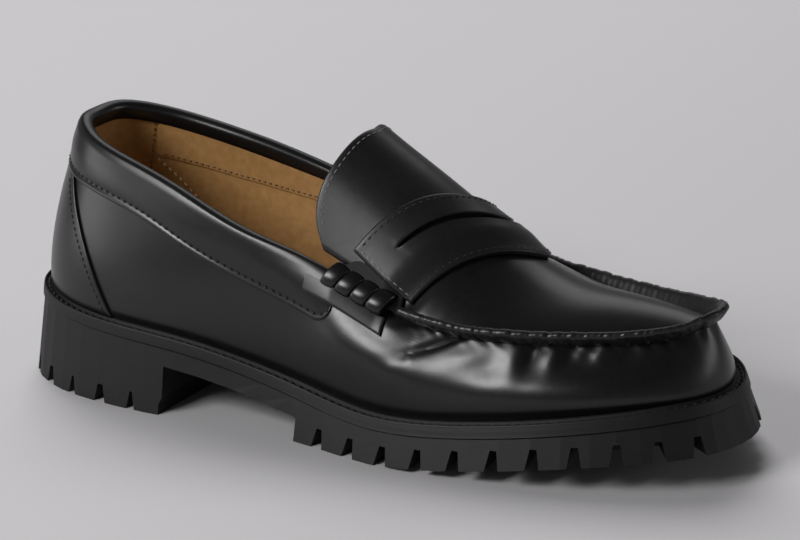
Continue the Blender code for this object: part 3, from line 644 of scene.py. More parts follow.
def plain(name, dark, light, rough, scale):
    """Evenly grained stuff, for threads and cut edges."""
    made, tree, shader = nodes_of(name)
    grain = noise(tree, place(tree), scale, 4.0, 0.6)
    tree.links.new(tint(tree, grain, dark, light), shader.inputs["Base Color"])
    shader.inputs["Roughness"].default_value = rough
    tree.links.new(bump(tree, grain, 0.05, 0.6), shader.inputs["Normal"])
    return made


DEEP_DARK = (0.0035, 0.0035, 0.0037)
DEEP_LIGHT = (0.0055, 0.0055, 0.0057)
SOFT_DARK = (0.0060, 0.0060, 0.0062)
SOFT_LIGHT = (0.0090, 0.0090, 0.0092)
RUBBER_DARK = (0.0040, 0.0040, 0.0041)
RUBBER_LIGHT = (0.0085, 0.0085, 0.0086)

BLACK = leather("black_polished", DEEP_DARK, DEEP_LIGHT, 0.30, 0.003, 0.02, 0.45)
MATTE = leather("black_softer", SOFT_DARK, SOFT_LIGHT, 0.36, 0.012, 0.04, 0.40)
DULL = leather("black_dull", SOFT_DARK, SOFT_LIGHT, 0.62, 0.012, 0.04, 0.22)
TAN = leather("tan_lining", (0.31, 0.165, 0.056), (0.40, 0.225, 0.082), 0.55, 0.05, 0.04, 0.35)
TAN_EDGE = plain("tan_lining_edge", (0.12, 0.06, 0.02), (0.18, 0.095, 0.035), 0.7, 1.5)
SOLE_RUBBER = rubber("sole_rubber", 0.55, (0.12, 0.12, 2.4))
TREAD_RUBBER = rubber("tread_rubber", 0.57, (0.12, 0.12, 2.0))
BLACK_THREAD = plain("black_thread", (0.004, 0.004, 0.004), (0.010, 0.010, 0.010), 0.7, 3.0)
GREY_THREAD = plain("grey_thread", (0.10, 0.10, 0.105), (0.20, 0.20, 0.205), 0.6, 3.0)
CREAM_THREAD = plain("cream_thread", (0.50, 0.38, 0.20), (0.68, 0.54, 0.32), 0.65, 3.0)

# Stations in millimetres
THROAT_X = THROAT_SIDE * SOLE_LENGTH
TIP_X = INSTEP[-1, 0] * SOLE_LENGTH
STRAP_DEEP = STRAP_LENGTH * SOLE_LENGTH


def strap_rear(q):
    """Rear edge of the strap, furthest forward a little to the inner side."""
    past = q - STRAP_TURN
    sweep = np.where(past > 0, STRAP_SWEEP_INNER, STRAP_SWEEP_OUTER)
    return (STRAP_REAR - sweep * (np.sqrt(1 + (past / STRAP_BEND) ** 2) - 1)) * SOLE_LENGTH


# Distance along the top edge, from the heel round by the outer side
LOOP = np.linspace(0, 1, 2401)
LOOP_S = along_line(wall(LOOP, 1.0))


def loop_s(u):
    """Distance along the top edge at a place round the loop."""
    return np.interp(np.mod(u, 1.0), LOOP, LOOP_S)


SEAM_PITCH = 6.8
SEAM_U = float(u_at(SEAM_START * SOLE_LENGTH))
SEAM_FROM = float(loop_s(SEAM_U))
SEAM_TO = float(loop_s(1 - SEAM_U))


def uneven(s, seed):
    """Gentle irregular wave of a length, between -1 and 1."""
    return (np.sin(s * 0.61 + seed) + np.sin(s * 0.267 + 2.1 * seed) + np.sin(s * 1.13 + 0.7 * seed)) / 3


def seam_phase(s):
    """Count of hand stitches from the seam's start, a little unevenly spaced."""
    return (s - SEAM_FROM) / SEAM_PITCH + 0.09 * uneven(s * 0.35, 1.0)


# Folds below the seam: x along the shoe, middle's depth below the edge, height
# (negative is a trough), half length, half height and lean to the heel per
# millimetre down. Lengths are in millimetres.
OUTER_FOLDS = (
    (160.0, 33.0, 2.0, 14.0, 15.0, 0.0),
    (178.0, 12.0, 1.0, 8.0, 8.0, 0.0),
    (180.0, 34.0, 2.0, 14.0, 12.0, 0.0),
    (195.0, 11.0, 1.0, 4.0, 12.0, 0.8),
    (211.0, 15.0, 1.0, 9.0, 9.0, 0.5),
    (229.0, 12.0, 1.0, 5.0, 12.0, 0.0),
    (235.0, 5.0, -1.2, 2.5, 9.0, 0.0),
    (243.0, 8.0, 1.4, 4.0, 9.0, 0.0),
    (248.0, 5.0, -0.5, 2.5, 6.0, 0.0),
    (252.0, 5.0, 0.5, 2.5, 5.0, 0.0),
    (259.0, 6.0, 1.2, 3.5, 6.0, 0.0),
    (268.0, 4.0, -0.5, 3.0, 6.0, 0.0),
    (224.0, 18.0, -1.2, 30.0, 10.0, 0.0),
    (224.0, 5.0, 0.5, 36.0, 6.0, 0.0),
)
INNER_FOLDS = (
    (160.0, 27.0, 1.4, 14.0, 12.0, -0.4),
    (180.0, 10.0, 1.1, 7.0, 6.5, -0.2),
    (197.0, 12.0, 0.5, 4.0, 8.0, 0.6),
    (214.0, 12.0, 0.8, 6.5, 8.5, 0.3),
    (235.0, 9.0, 1.0, 4.4, 9.0, 0.0),
    (251.0, 6.0, 0.9, 3.4, 6.0, -0.2),
)

# Creases from the seam: x at the edge, depth, half length, reach down and lean
# to the heel per millimetre down, in millimetres.
OUTER_CREASES = (
    (188.0, 0.6, 2.0, 9.0, 0.8),
    (203.0, 1.2, 3.2, 20.0, 0.8),
    (207.0, 3.0, 3.0, 16.0, 0.8),
)
INNER_CREASES = (
    (190.0, 0.7, 2.2, 11.0, 0.7),
    (209.0, 1.8, 3.4, 19.0, 0.6),
    (228.0, 1.1, 3.0, 15.0, 0.2),
    (243.0, 0.8, 2.6, 11.0, 0.0),
    (260.0, 0.5, 2.6, 9.0, -0.2),
)

# Fullness right under the seam, reach of its tucks and the quarter's waves
FULL_REACH = 5.7
TUCK_REACH = 3.4
TUCK_START = 1.0
QUARTER_WAVE = 0.22
QUARTER_END = 190.0


def wall_relief(u, v):
    """How far the vamp's leather swells (+) or creases (-)."""
    point = wall(u, v)
    below = np.linalg.norm(wall(u, 1.0) - point, axis=-1)
    x = point[..., 0]
    s = loop_s(u)
    inner = np.mod(u, 1.0) > 0.5
    relief = 0 * x
    for side, folds, creases in ((False, OUTER_FOLDS, OUTER_CREASES), (True, INNER_FOLDS, INNER_CREASES)):
        here = inner == side
        for middle, deep, height, half_length, half_height, lean in folds:
            along = (x - middle + lean * (below - deep)) / half_length
            relief = relief + here * height * np.exp(-along ** 2 - ((below - deep) / half_height) ** 2)
        for middle, depth, half_length, reach, lean in creases:
            along = np.abs(x - middle + lean * below) / half_length
            relief = relief - here * depth * np.exp(-along ** 1.8 - (below / reach) ** 1.3)
    relief = relief + smooth(188, 212, x) * smooth(276, 262, x) * np.exp(-(below / FULL_REACH) ** 2)
    in_seam = smooth(SEAM_FROM - 2, SEAM_FROM + 6, s) * smooth(SEAM_TO + 2, SEAM_TO - 6, s)
    tuck = np.cos(2 * np.pi * seam_phase(s)) + 0.25
    size = 0.19 + 0.10 * uneven(s * 0.5, 3.0)
    gap = np.clip(below - TUCK_START, 0, None)
    relief = relief - in_seam * size * tuck * np.exp(-(gap / TUCK_REACH) ** 1.3)
    quarter = np.sin(x * 0.055 + 1.2) * np.sin(np.clip(v, 0, 1) * np.pi) * (x < QUARTER_END)
    return (relief + QUARTER_WAVE * quarter) * smooth(0.0, 1.4, below)


# Backs of the outer leathers and face of the lining, inwards from the wall
LEATHER_BACK = -1.1
LINING_FACE = -1.2

# Vamp and quarters
VAMP_COLUMNS = 640
u_line = spread(np.arange(VAMP_COLUMNS) / VAMP_COLUMNS)
v_line = np.concatenate([np.linspace(0, 0.62, 22)[:-1], np.linspace(0.62, 1.0, 34)])
grid_u, grid_v = np.meshgrid(u_line, v_line)
grid, normal, _ = wall_frame(grid_u, grid_v)
shell("vamp_and_quarters", grid, normal, LEATHER_BACK, wall_relief(grid_u, grid_v), BLACK,
      nodes=("upper",), wrap=True)

# Lining
LINING_COLUMNS = 240
grid_u, grid_v = np.meshgrid(spread(np.arange(LINING_COLUMNS) / LINING_COLUMNS), np.linspace(0, 1, 26))
grid, normal, _ = wall_frame(grid_u, grid_v)
shell("lining", grid, normal, -UPPER_WALL, LINING_FACE, TAN, wrap=True)

# Raised strip of the lining under the collar, its seams and their stitches.
# Rows of its foot are x and depth below the topline.
STRIP_FOOT = ((30.0, 19.5), (46.0, 19.3), (69.0, 18.1), (101.0, 14.3), (130.0, 10.5))
STRIP_TOP = 2.5
STRIP_THICKNESS = 1.1
STRIP_SETBACK = 1.6
LINING_BACK = 33.5


def strip_foot(x):
    """Depth of the strip's lower edge below the topline."""
    return np.interp(x, *np.transpose(STRIP_FOOT))


def inner_face(x, below, inner, lift):
    """Places on the inner face of the upper at a depth below its top edge."""
    u = 1 - u_at(x) if inner else u_at(x)
    v = 1.0 - below / np.linalg.norm(wall(u, 1.0) - wall(u, 0.0), axis=-1)
    point, out, _ = wall_frame(u, v)
    return point - out * (UPPER_WALL + lift), -out


for inner, name in ((False, "outer"), (True, "inner")):
    x_line = LINING_BACK + (THROAT_X - LINING_BACK - 1.0) * ends(70, 80.0)
    x_grid, down = np.meshgrid(x_line, ends(14, 14.0), indexing="ij")
    grid, normal = inner_face(x_grid, STRIP_TOP + (strip_foot(x_grid) - STRIP_TOP) * down, inner, 0.0)
    rim = rounded((1 - down) * 15.0, 0.5) * rounded(x_grid - LINING_BACK, 0.5)
    if inner:
        grid, normal, rim = grid[::-1], normal[::-1], rim[::-1]
    shell("lining_strip_" + name, grid, normal, -0.3, STRIP_THICKNESS * rim, TAN)
    x_row = np.linspace(LINING_BACK + 2, THROAT_X - 4, 160)
    line, out = inner_face(x_row, strip_foot(x_row) - STRIP_SETBACK, inner, STRIP_THICKNESS)
    stitches("lining_strip_stitches_" + name, line, out, 2.6, 1.8, 0.32, 0.2, TAN_EDGE)
    drop = np.linspace(4.0, 30.0, 60)
    line, out = inner_face(LINING_BACK - 1.4 + 0 * drop, drop, inner, 0.0)
    stitches("lining_back_stitches_" + name, line, out, 2.6, 1.8, 0.36, 0.05, TAN_EDGE)
    drop = np.linspace(20.5, 44.0, 60)
    line, out = inner_face(35.0 + (drop - 21.5) * 1.47, drop, inner, 0.0)
    stitches("lining_slant_stitches_" + name, line, out, 3.0, 2.0, 0.5, 0.0, CREAM_THREAD)

# Apron: its edge dips into the seam, but stands up beside the strap
APRON_END = 0.9640
APRON_EDGE_DIP = 0.35
APRON_EDGE_RISE = 3.4


def apron_grid(lines, across):
    """Grid over the instep, from the throat's curved edge to the toe."""
    t = np.linspace(0, 1, lines)[:, None]
    q = np.linspace(-1, 1, across)[None, :]
    edge = THROAT_X + (APRON_END * SOLE_LENGTH - THROAT_X) * (1 - (1 - t) ** 1.25)
    fade = smooth(THROAT_FADE * SOLE_LENGTH, THROAT_X, edge)
    x = edge + THROAT_MIDDLE * SOLE_LENGTH * fade * (1 - np.abs(q) ** 1.6)
    return *instep_frame(x, q), x, q


grid, normal, x, q = apron_grid(200, 71)
gap = (1 - np.abs(q)) * 0.5 * (edge_at(x, False)[0] + edge_at(x, True)[0])
dip = 0.10 * uneven(x * 0.8, 5.0) * np.exp(-gap / 4.0) - APRON_EDGE_DIP * np.exp(-(gap / 3.0) ** 2)
rising = APRON_EDGE_RISE * np.clip((np.abs(q) - 0.35) / 0.62, 0, 1) ** 2
beside_strap = smooth(-4.0, 6.0, x - strap_rear(q) - STRAP_DEEP) * smooth(250, 212, x)
shell("apron", grid, normal, LEATHER_BACK, dip + rising * beside_strap, BLACK)
grid, normal, x, q = apron_grid(60, 31)
shell("apron_lining", grid, normal, -UPPER_WALL - 0.8, -UPPER_WALL - 0.2, TAN)

# Collar band, padded, folded over the topline and rounded off at its two tips
TIP_U = float(u_at((BAND_END + 0.020) * SOLE_LENGTH))
TIP_ROUND = 9.0
BAND_FOOT = 1.15
BAND_STITCH_UP = 2.4
BAND_PROFILE = (0.0, 0.012, 0.035, 0.07, 0.11, 0.135, 0.16, 0.20, 0.28, 0.38, 0.5, 0.62, 0.74, 0.86, 0.95)
BAND = np.array(BAND_ROWS)
# Half oval over the topline: middle and half sizes, outwards and upwards
CROWN_MIDDLE = (-0.62, -0.25)
CROWN_HALF = (3.05, 2.75)
# Inner lip: how far below the topline and how far outwards
LIP_ROWS = ((1.2, -3.75), (2.6, -3.7), (4.0, -3.55), (BAND_LIP, -3.2), (BAND_LIP, -2.1), (-0.3, -2.05),
            (-0.3, 0.4))


def band_depth(u):
    """Depth of the collar band's lower edge below the topline."""
    at = np.clip(ring_spline(KNOTS, TOP_X, u) / SOLE_LENGTH, BAND[0, 0], BAND[-1, 0])
    return BAND_HEIGHT * spline(BAND[:, 0], BAND[:, 1], at)


def tall_at(u):
    """Height of the wall at a place round the loop."""
    return ring_spline(KNOTS, TOP_Z, u) - seat(outline(u)[0])


def plumb(u, v):
    """Places round the loop that put lower points under the top edge at u."""
    u = np.asarray(u, float) + 0 * np.asarray(v, float)
    aim = ring_spline(KNOTS, TOP_X, u)
    here = wall(u, v)[..., 0]
    goal = here + smooth(0.12, 0.24, aim / SOLE_LENGTH) * (aim - here)
    at = u.copy()
    for _ in range(5):
        slope = (wall(at + NEAR, v)[..., 0] - wall(at - NEAR, v)[..., 0]) / (2 * NEAR)
        fine = np.abs(slope) > 40.0
        step = np.where(fine, (wall(at, v)[..., 0] - goal) / np.where(fine, slope, 1.0), 0.0)
        at = at - np.clip(step, -0.02, 0.02)
    return at


def tip_gap(u):
    """Distance along the topline to the nearer tip of the band."""
    u = np.mod(u, 1.0)
    return np.clip(loop_s(TIP_U) - loop_s(np.minimum(u, 1.0 - u)), 0, None)


def tip_depth(u):
    """Depth of the band's lower edge, drawn up round at its tips."""
    t = np.clip(1 - tip_gap(u) / TIP_ROUND, 0, 1)
    return band_depth(u) - TIP_ROUND * (1 - np.sqrt(np.clip(1 - t * t, 0, 1)))


def band_line(u, below):
    """Points on the wall at a depth below the topline."""
    v = 1.0 - below / tall_at(u)
    return wall_frame(plumb(u, v), v)


u_band = spread_ends(-TIP_U, TIP_U, 300)
depth = tip_depth(u_band)
end_rim = rounded(tip_gap(u_band), 0.7)
outer_ring = []
inner_ring = []
for s in BAND_PROFILE:
    point, out, up = band_line(u_band, (1.0 - s) * depth)
    thick = BAND_FOOT + (BAND_THICKNESS + 0.25 - BAND_FOOT) * smooth(0.1, 0.65, s)
    rim = np.minimum(rounded(s * depth, 0.7), end_rim)
    stitch_dip = 0.34 * np.exp(-((s * depth - BAND_STITCH_UP) / 0.75) ** 2)
    outer_ring.append(point + out * (0.45 + thick * rim - stitch_dip)[:, None])
    inner_ring.append(point + out * 0.4)
point, out, up = band_line(u_band, 0.0 * depth)
crown = []
for a in np.linspace(0.0, math.pi, 15):
    across = CROWN_MIDDLE[0] + CROWN_HALF[0] * math.cos(a)
    lift = CROWN_MIDDLE[1] + CROWN_HALF[1] * math.sin(a)
    crown.append(point + out * across + up * lift)
lip = [point + out * across - up * drop for drop, across in LIP_ROWS]
rings = np.stack(outer_ring + crown + lip + inner_ring[::-1], axis=1)
loft("collar_padding", rings, BLACK, ("collar_band",), 50.0)

u_row = np.linspace(-TIP_U + 0.0006, TIP_U - 0.0006, 500)
depth = tip_depth(u_row)
point, out, up = band_line(u_row, depth * (1.0 - BAND_STITCH_UP / np.clip(depth, 4.0, None)))
stitches("collar_stitches", point + out * 1.42, out, 3.3, 1.9, 0.42, 0.55, BLACK_THREAD)

# Heel counter
COUNTER_LOW = CLEARANCE / COLLAR_RISE
COUNTER_TUCK = 0.03
STITCH_INSET = 0.0042
u_top = float(u_at(COUNTER_TOP * SOLE_LENGTH))
u_foot = float(np.interp(COUNTER_FOOT * SOLE_LENGTH, outline(FINE)[0], FINE))


def counter_u(t):
    """Place round the loop of the counter's front edge at a share of its height."""
    return u_foot + (u_top - u_foot) * t ** 1.2


def counter_v(u, t, tuck):
    """Height on the wall from the sole to the band, or a little under the band."""
    high = 1.0 - band_depth(u) / tall_at(u) + tuck
    return COUNTER_LOW + (high - COUNTER_LOW) * t


share, side = np.meshgrid(ends(30, 60.0), 2 * ends(90, 110.0) - 1, indexing="ij")
grid_u = side * counter_u(share)
grid, normal, _ = wall_frame(grid_u, counter_v(grid_u, share, COUNTER_TUCK))
rim = np.minimum(rounded(55 * (1 - np.abs(side)), 0.8), rounded(60 * np.minimum(share + 0.05, 1.0), 0.8))
shell("heel_counter_leather", grid, normal, 0.0, 0.25 + COUNTER_THICKNESS * rim, BLACK,
      nodes=("heel_counter",))
for side, name in ((1.0, "outer"), (-1.0, "inner")):
    share = np.linspace(0.02, 0.97, 120)
    u = side * (counter_u(share) - STITCH_INSET)
    point, out, up = wall_frame(u, counter_v(u, share, 0.0))
    stitches("counter_stitches_" + name, point + out * 1.32, out, 2.6, 1.7, 0.26, 0.5, BLACK_THREAD)

# Gathered seam round the apron. Its outer face goes from foot to corner, by rows
# of share of the way, bulge and how much the stitches draw it in, and its top
# by rows of place across and up, as shares of the seam's width and height.
SEAM_FOOT_DROP = 0.9
SEAM_PINCH = 1.7
SEAM_PEAK = 1.3
SEAM_PEAK_X = 194.0
SEAM_FACE = ((0.03, 0.0, 1.0), (0.12, 0.18, 1.0), (0.26, 0.30, 0.7), (0.38, 0.34, 0.15), (0.60, 0.28, 0.0),
             (0.78, 0.16, 0.0), (0.92, 0.06, 0.0))
SEAM_CROWN = ((0.40, 0.95), (0.16, 1.0), (-0.12, 1.0), (-0.34, 0.94), (-0.46, 0.80), (-0.50, 0.6),
              (-0.47, 0.35))
u_seam = spread_ends(SEAM_U, 1.0 - SEAM_U, 900, 0.0006)
point, out, up = wall_frame(u_seam, 1.0)
side = np.where(u_seam > 0.5, 1.0, -1.0)
inward = unit(instep(np.minimum(point[:, 0], TIP_X - 0.5), side * 0.9) - point)
to_tip = unit(instep(0.95 * SOLE_LENGTH, 0.0)[None, :] - point)
blend = smooth(0.945, 0.962, point[:, 0] / SOLE_LENGTH)[:, None]
inward = unit(inward * (1 - blend) + to_tip * blend)
ahead = unit(np.gradient(point, axis=0))
over = unit(np.cross(inward, ahead))
over = np.where(over[:, 2:3] < 0, -over, over)
rise = unit(out + over)
aside = unit(np.cross(rise, np.cross(rise, inward)))
s = loop_s(u_seam)
phase = seam_phase(s)
pinch = (0.5 + 0.5 * np.cos(2 * np.pi * phase)) ** 9
wrinkle = uneven(s * 2.1, 4.0)
tall = SEAM_HEIGHT * (1.56 - 0.05 * pinch + 0.06 * uneven(s * 0.9, 1.7) + 0.03 * wrinkle)
tall = tall + SEAM_PEAK * np.exp(-((point[:, 0] - SEAM_PEAK_X) / 13.0) ** 2)
tall = tall * (0.55 + 0.45 * np.minimum(smooth(-1.0, 3.0, s - SEAM_FROM), smooth(-1.0, 3.0, SEAM_TO - s)))
wide = SEAM_WIDTH * (1.0 + 0.04 * uneven(s * 1.9, 2.0))
low, low_out, _ = wall_frame(u_seam, 1.0 - (SEAM_FOOT_DROP + 0.25 * uneven(s * 1.3, 7.0)) / tall_at(u_seam))
foot = low + low_out
corner = point + aside * (0.50 * wide + 0.14 * wrinkle)[:, None] + rise * (0.86 * tall)[:, None]
rings = [low - low_out * 0.4, low + low_out * (0.55 - 0.5 * pinch)[:, None]]
for t, bulge, cut in SEAM_FACE:
    draw = bulge + 0.10 * wrinkle - SEAM_PINCH * cut * pinch
    rings.append(foot * (1 - t) + corner * t + aside * draw[:, None])
rings.append(corner)
for across, lift in SEAM_CROWN:
    rings.append(point + aside * (across * wide)[:, None] + rise * (lift * tall)[:, None])
rings.append(point + inward * 1.45 + over * 0.15)
rings.append(point + inward * 1.3 - over * 0.5)
rings.append(point - out * 0.4 - over * 0.4)
loft("apron_seam", np.stack(rings, axis=1), MATTE, ("moc_seam",), 60.0)

# Thread of the seam, in the pinches
holes = np.interp(np.arange(200), phase, u_seam, left=-1.0, right=-1.0)
holes = holes[(holes > SEAM_U + 0.003) & (holes < 1 - SEAM_U - 0.003)]
points = []
for u in holes:
    i = int(np.argmin(np.abs(u_seam - u)))
    base = low[i] * 0.75 + corner[i] * 0.25 - aside[i] * 0.9
    for t in np.linspace(0, 1, THREAD_CELLS):
        bow = math.sin(math.pi * t)
        middle = base + aside[i] * (0.55 * bow) + rise[i] * (2.2 * t - 1.0)
        radius = 0.38 * (0.5 + 0.5 * bow)
        for a in np.arange(THREAD_CELLS) / THREAD_CELLS * 2 * math.pi:
            points.append(middle + ahead[i] * radius * math.cos(a) + aside[i] * radius * math.sin(a))
piece("seam_thread", points, thread_faces(len(holes)), BLACK_THREAD, angle=60.0)

# Tongue
TONGUE = np.array(TONGUE_ROWS)
TONGUE_HALF = float(TONGUE[-1, 0])
TONGUE_SAG = 1.5
TONGUE_SETBACK = 2.6


def tongue_end(q, column):
    """Rear (1) or front (2) end of the tongue at a place across."""
    return spline(TONGUE[:, 0], TONGUE[:, column], np.abs(q)) * SOLE_LENGTH


def tongue_low(q):
    """Underside of the tongue over the instep, lower at its sides."""
    return CLEARANCE - TONGUE_SAG * smooth(0.55, TONGUE_HALF, np.abs(q))


q = ((2 * ends(56, 75.0) - 1) * TONGUE_HALF)[None, :]
share = ends(36, 45.0)[:, None]
x = tongue_end(q, 2) + (tongue_end(q, 1) - tongue_end(q, 2)) * share
grid, normal = instep_frame(x, q)
rim = np.minimum(rounded((1 - share) * 45.0, 0.9), rounded((TONGUE_HALF - np.abs(q)) * 38.0, 0.9))
shell("tongue_leather", grid, normal, tongue_low(q), tongue_low(q) + TONGUE_THICKNESS * rim, MATTE,
      nodes=("tongue",))
q = np.linspace(-0.86, 0.86, 300)
edge, out = instep_frame(tongue_end(q, 1), q)
inward = unit(np.cross(out, unit(np.gradient(edge, axis=0))))
inward = np.where(inward[:, :1] < 0, -inward, inward)
line = edge + inward * TONGUE_SETBACK + out * (tongue_low(q) + TONGUE_THICKNESS)[:, None]
stitches("tongue_stitches", line, out, 2.9, 1.9, 0.22, 0.35, GREY_THREAD)

# Saddle strap, in two parts that meet beside its slot
SLOT_REACH = 3.0
STRAP_SWELL = 0.35
STRAP_SETBACK = 2.0


def strap_lift(share):
    """Underside of the strap over the instep: over the tongue, then down to the apron."""
    over_tongue = 2 * CLEARANCE + TONGUE_THICKNESS
    return over_tongue - (over_tongue - 2 * CLEARANCE) * smooth(0.55, 1.0, share)


def strap_side(share):
    """Where the strap's side edge lies across the instep."""
    return STRAP_SIDE_REAR + (STRAP_SIDE_FRONT - STRAP_SIDE_REAR) * share


across = 2 * ends(110, 90.0) - 1
rear_share = ends(14, 12.0) * SLOT_PLACE
front_share = SLOT_PLACE + ends(18, 18.0) * (1 - SLOT_PLACE)
for name, way, shares, swell in (("rear", -1, rear_share, 0.5), ("front", 1, front_share, 1.0)):
    share = shares[:, None]
    q = across[None, :] * strap_side(share)
    slot = np.clip(1 - (q / SLOT_SIDE) ** 2, 0, 1)
    slot_gap = np.abs(share - SLOT_PLACE) * STRAP_DEEP
    edge_gap = (share if way < 0 else 1 - share) * STRAP_DEEP
    near_slot = np.exp(-slot_gap / SLOT_REACH)
    x = strap_rear(q) + STRAP_DEEP * share + way * 0.5 * SLOT_WIDTH * np.sqrt(slot) * near_slot
    grid, normal = instep_frame(x, q)
    open_slot = smooth(0.0, 0.05, slot)
    rim = np.minimum(rounded(edge_gap, 0.8), rounded((1 - np.abs(across[None, :])) * 44.0, 0.8))
    rim = np.minimum(rim, 1 - open_slot * (1 - rounded(slot_gap, 0.8)))
    high = strap_lift(share) + STRAP_THICKNESS * rim + STRAP_SWELL * swell * open_slot * near_slot
    shell("strap_" + name, grid[:, ::-1], normal[:, ::-1], strap_lift(share), high[:, ::-1], MATTE,
          nodes=("saddle_strap",))


def strap_line(q, share, ahead=0.0):
    """Line on the strap's face, a distance ahead of a share of its length."""
    point, out = instep_frame(strap_rear(q) + STRAP_DEEP * share + ahead, q)
    return point + out * (strap_lift(share) + STRAP_THICKNESS)[:, None], out


q = np.linspace(-0.83, 0.83, 260)
line, out = strap_line(q, 0 * q, STRAP_SETBACK)
stitches("strap_rear_stitches", line, out, 3.0, 1.7, 0.3, 0.6, BLACK_THREAD)
q = np.linspace(-0.90, 0.90, 260)
line, out = strap_line(q, 1 + 0 * q, -STRAP_SETBACK)
stitches("strap_front_stitches", line, out, 3.0, 1.7, 0.3, 0.6, BLACK_THREAD)
for sign, name in ((-1, "outer"), (1, "inner")):
    share = np.linspace(0.08, 0.94, 80)
    line, out = strap_line(sign * (strap_side(share) - 0.028), share)
    stitches("strap_end_stitches_" + name, line, out, 2.9, 2.0, 0.26, 0.3, GREY_THREAD)

# Beef rolls, the tab under each and the folded strip above it
WRAP_NECK = 0.34
WRAP_LEAN = 0.9
STRIP_WIDTH = 5.0
STRIP_RISE = 2.3
for inner, name in ((False, "outer"), (True, "inner")):
    sign = 1.0 if inner else -1.0
    from_u = float(u_at(ROLL_START * SOLE_LENGTH, inner))
    to_u = float(u_at(ROLL_END * SOLE_LENGTH, inner))

    # Wraps
    share = np.linspace(0, 1, WRAP_COUNT * 18 + 1)
    point, out, up = wall_frame(from_u + (to_u - from_u) * share, 1.0)
    axis = unit(np.gradient(point, axis=0))
    out = unit(out - axis * np.sum(out * axis, axis=-1, keepdims=True))
    over = np.cross(out, axis)
    over = np.where(over[:, 2:3] < 0, -over, over)
    radius = 1.0 - WRAP_NECK * (1 - np.abs(np.sin(np.pi * share * WRAP_COUNT)) ** 0.24)
    centre = point + out * (ROLL_RADIUS - 0.2) - over * 0.4
    a = (np.arange(40) / 40 * 2 * np.pi)[None, :, None]
    oval = (np.cos(a) * (ROLL_RADIUS - 0.3) * out[:, None, :]
            + np.sin(a) * (ROLL_RADIUS + 1.7) * over[:, None, :])
    lean = np.sin(a) * (axis * WRAP_LEAN * -sign)[:, None, :]
    rings = centre[:, None, :] + radius[:, None, None] * oval + lean
    loft("wraps_" + name, rings, BLACK, ("beef_roll_" + name,), 70.0)

    # Tab
    along, up = np.meshgrid(ends(40, 34.0) * 1.34 - 0.34, ends(8, TAB_WIDTH))
    grid_u = from_u + (to_u - from_u) * along
    v = 1.0 - (ROLL_RADIUS + 3 * CLEARANCE + TAB_WIDTH * (1 - up)) / tall_at(grid_u)
    grid, normal, _ = wall_frame(plumb(grid_u, v), v)
    on_band = np.clip(1.2 - 1.4 * np.clip(along, 0, None), 0, 1)
    low = 1.5 * CLEARANCE + (BAND_THICKNESS + 3 * CLEARANCE) * on_band
    rim = np.minimum(rounded(up * TAB_WIDTH, 0.7), rounded((1 - along) * 27.0, 0.7))
    shell("tab_" + name, grid, normal, low, low + TAB_THICKNESS * rim, MATTE, nodes=("roll_tab_" + name,))

    # Strip between the wraps and the strap's end
    along, up = np.meshgrid(ends(60, 34.0), ends(8, 4.0))
    x = ring_spline(KNOTS, TOP_X, from_u + (to_u - 0.006 * sign - from_u) * along)
    scallop = 0.018 * np.abs(np.sin(np.pi * along * WRAP_COUNT)) * (1 - up)
    grid, normal = instep_frame(x, sign * (1.02 - scallop - 0.15 * up * smooth(-0.1, 0.45, along)))
    rim = np.minimum(rounded(up * STRIP_WIDTH, 0.8), rounded((1 - along) * 30.0, 0.8))
    high = 0.2 + STRIP_RISE * smooth(0.0, 0.25, 1 - along) + 1.3 * rim
    shell("strip_" + name, grid, normal, 0.0, high, DULL)

# Sock over the insole. Rows: share of the way from the edge to the middle, height.
SOCK_THICKNESS = 0.6
SOCK_ROWS = ((0.0, 0.1), (0.02, 0.45), (0.05, 0.58), (0.15, 0.6), (0.35, 0.6), (0.6, 0.6), (0.85, 0.6),
             (0.99, 0.6))
UP = np.array([0.0, 0.0, 1.0])
u = spread(np.arange(200) / 200)
x, y, nx, ny = outline(u)
inset = ring_spline(KNOTS, MARGIN, u) + UPPER_WALL + 2 * CLEARANCE
edge_x = x - nx * inset
edge_y = y - ny * inset
spine_x = np.clip(edge_x, 0.14 * SOLE_LENGTH, 0.86 * SOLE_LENGTH)
rows = []
for t, height in SOCK_ROWS:
    px = edge_x + (spine_x - edge_x) * t
    py = edge_y + (swing(spine_x) - edge_y) * t
    rows.append(np.stack([px, py, seat(px) + CLEARANCE + INSOLE_THICKNESS - SOCK_THICKNESS], axis=-1))
grid = np.array(rows)
high = np.array([row[1] for row in SOCK_ROWS])[:, None]
shell("sock", grid, UP, SOCK_THICKNESS - INSOLE_THICKNESS, high, TAN, ("insole",), wrap=True)

# Welt and midsole. Rows: out from the sole's top edge and down from its height,
# then shares of the way down the side, then the underside.
WELT_ROWS = ((-9.0, 0.0), (-4.4, 0.0), (-3.9, 0.3), (-3.4, 1.2), (-2.6, 1.5), (-1.6, 1.5), (-1.0, 1.2),
             (-0.8, 0.3), (-0.55, 0.0), (-0.25, 0.0), (0.0, 0.2), (0.10, 0.6))
SIDE_SHARES = (0.35, 0.6, 0.85)
UNDER_ROWS = ((-0.02, 0.35), (-0.25, 0.0), (-9.0, 0.0))
STITCH_PLACE = (-2.0, 1.2)
u = spread(np.arange(420) / 420)
x = outline(u)[0]
top = seat(x)
wide = side_out(x, side_share(x))
rings = [ring(u, out_by, top - drop) for out_by, drop in WELT_ROWS]
rings += [ring(u, wide * t + 0.05, top - MIDSOLE_THICKNESS * t) for t in SIDE_SHARES]
rings += [ring(u, wide + out_by, top - MIDSOLE_THICKNESS + lift) for out_by, lift in UNDER_ROWS]
n = len(u)
last = (len(rings) - 1) * n
faces = grid_faces(len(rings), n, 0, True).tolist()
for j in range(n):
    k = (j + 1) % n
    faces.append((last + j, last + k, k, j))
piece("welt_rim", rings, faces, SOLE_RUBBER, ("midsole",), 45.0)
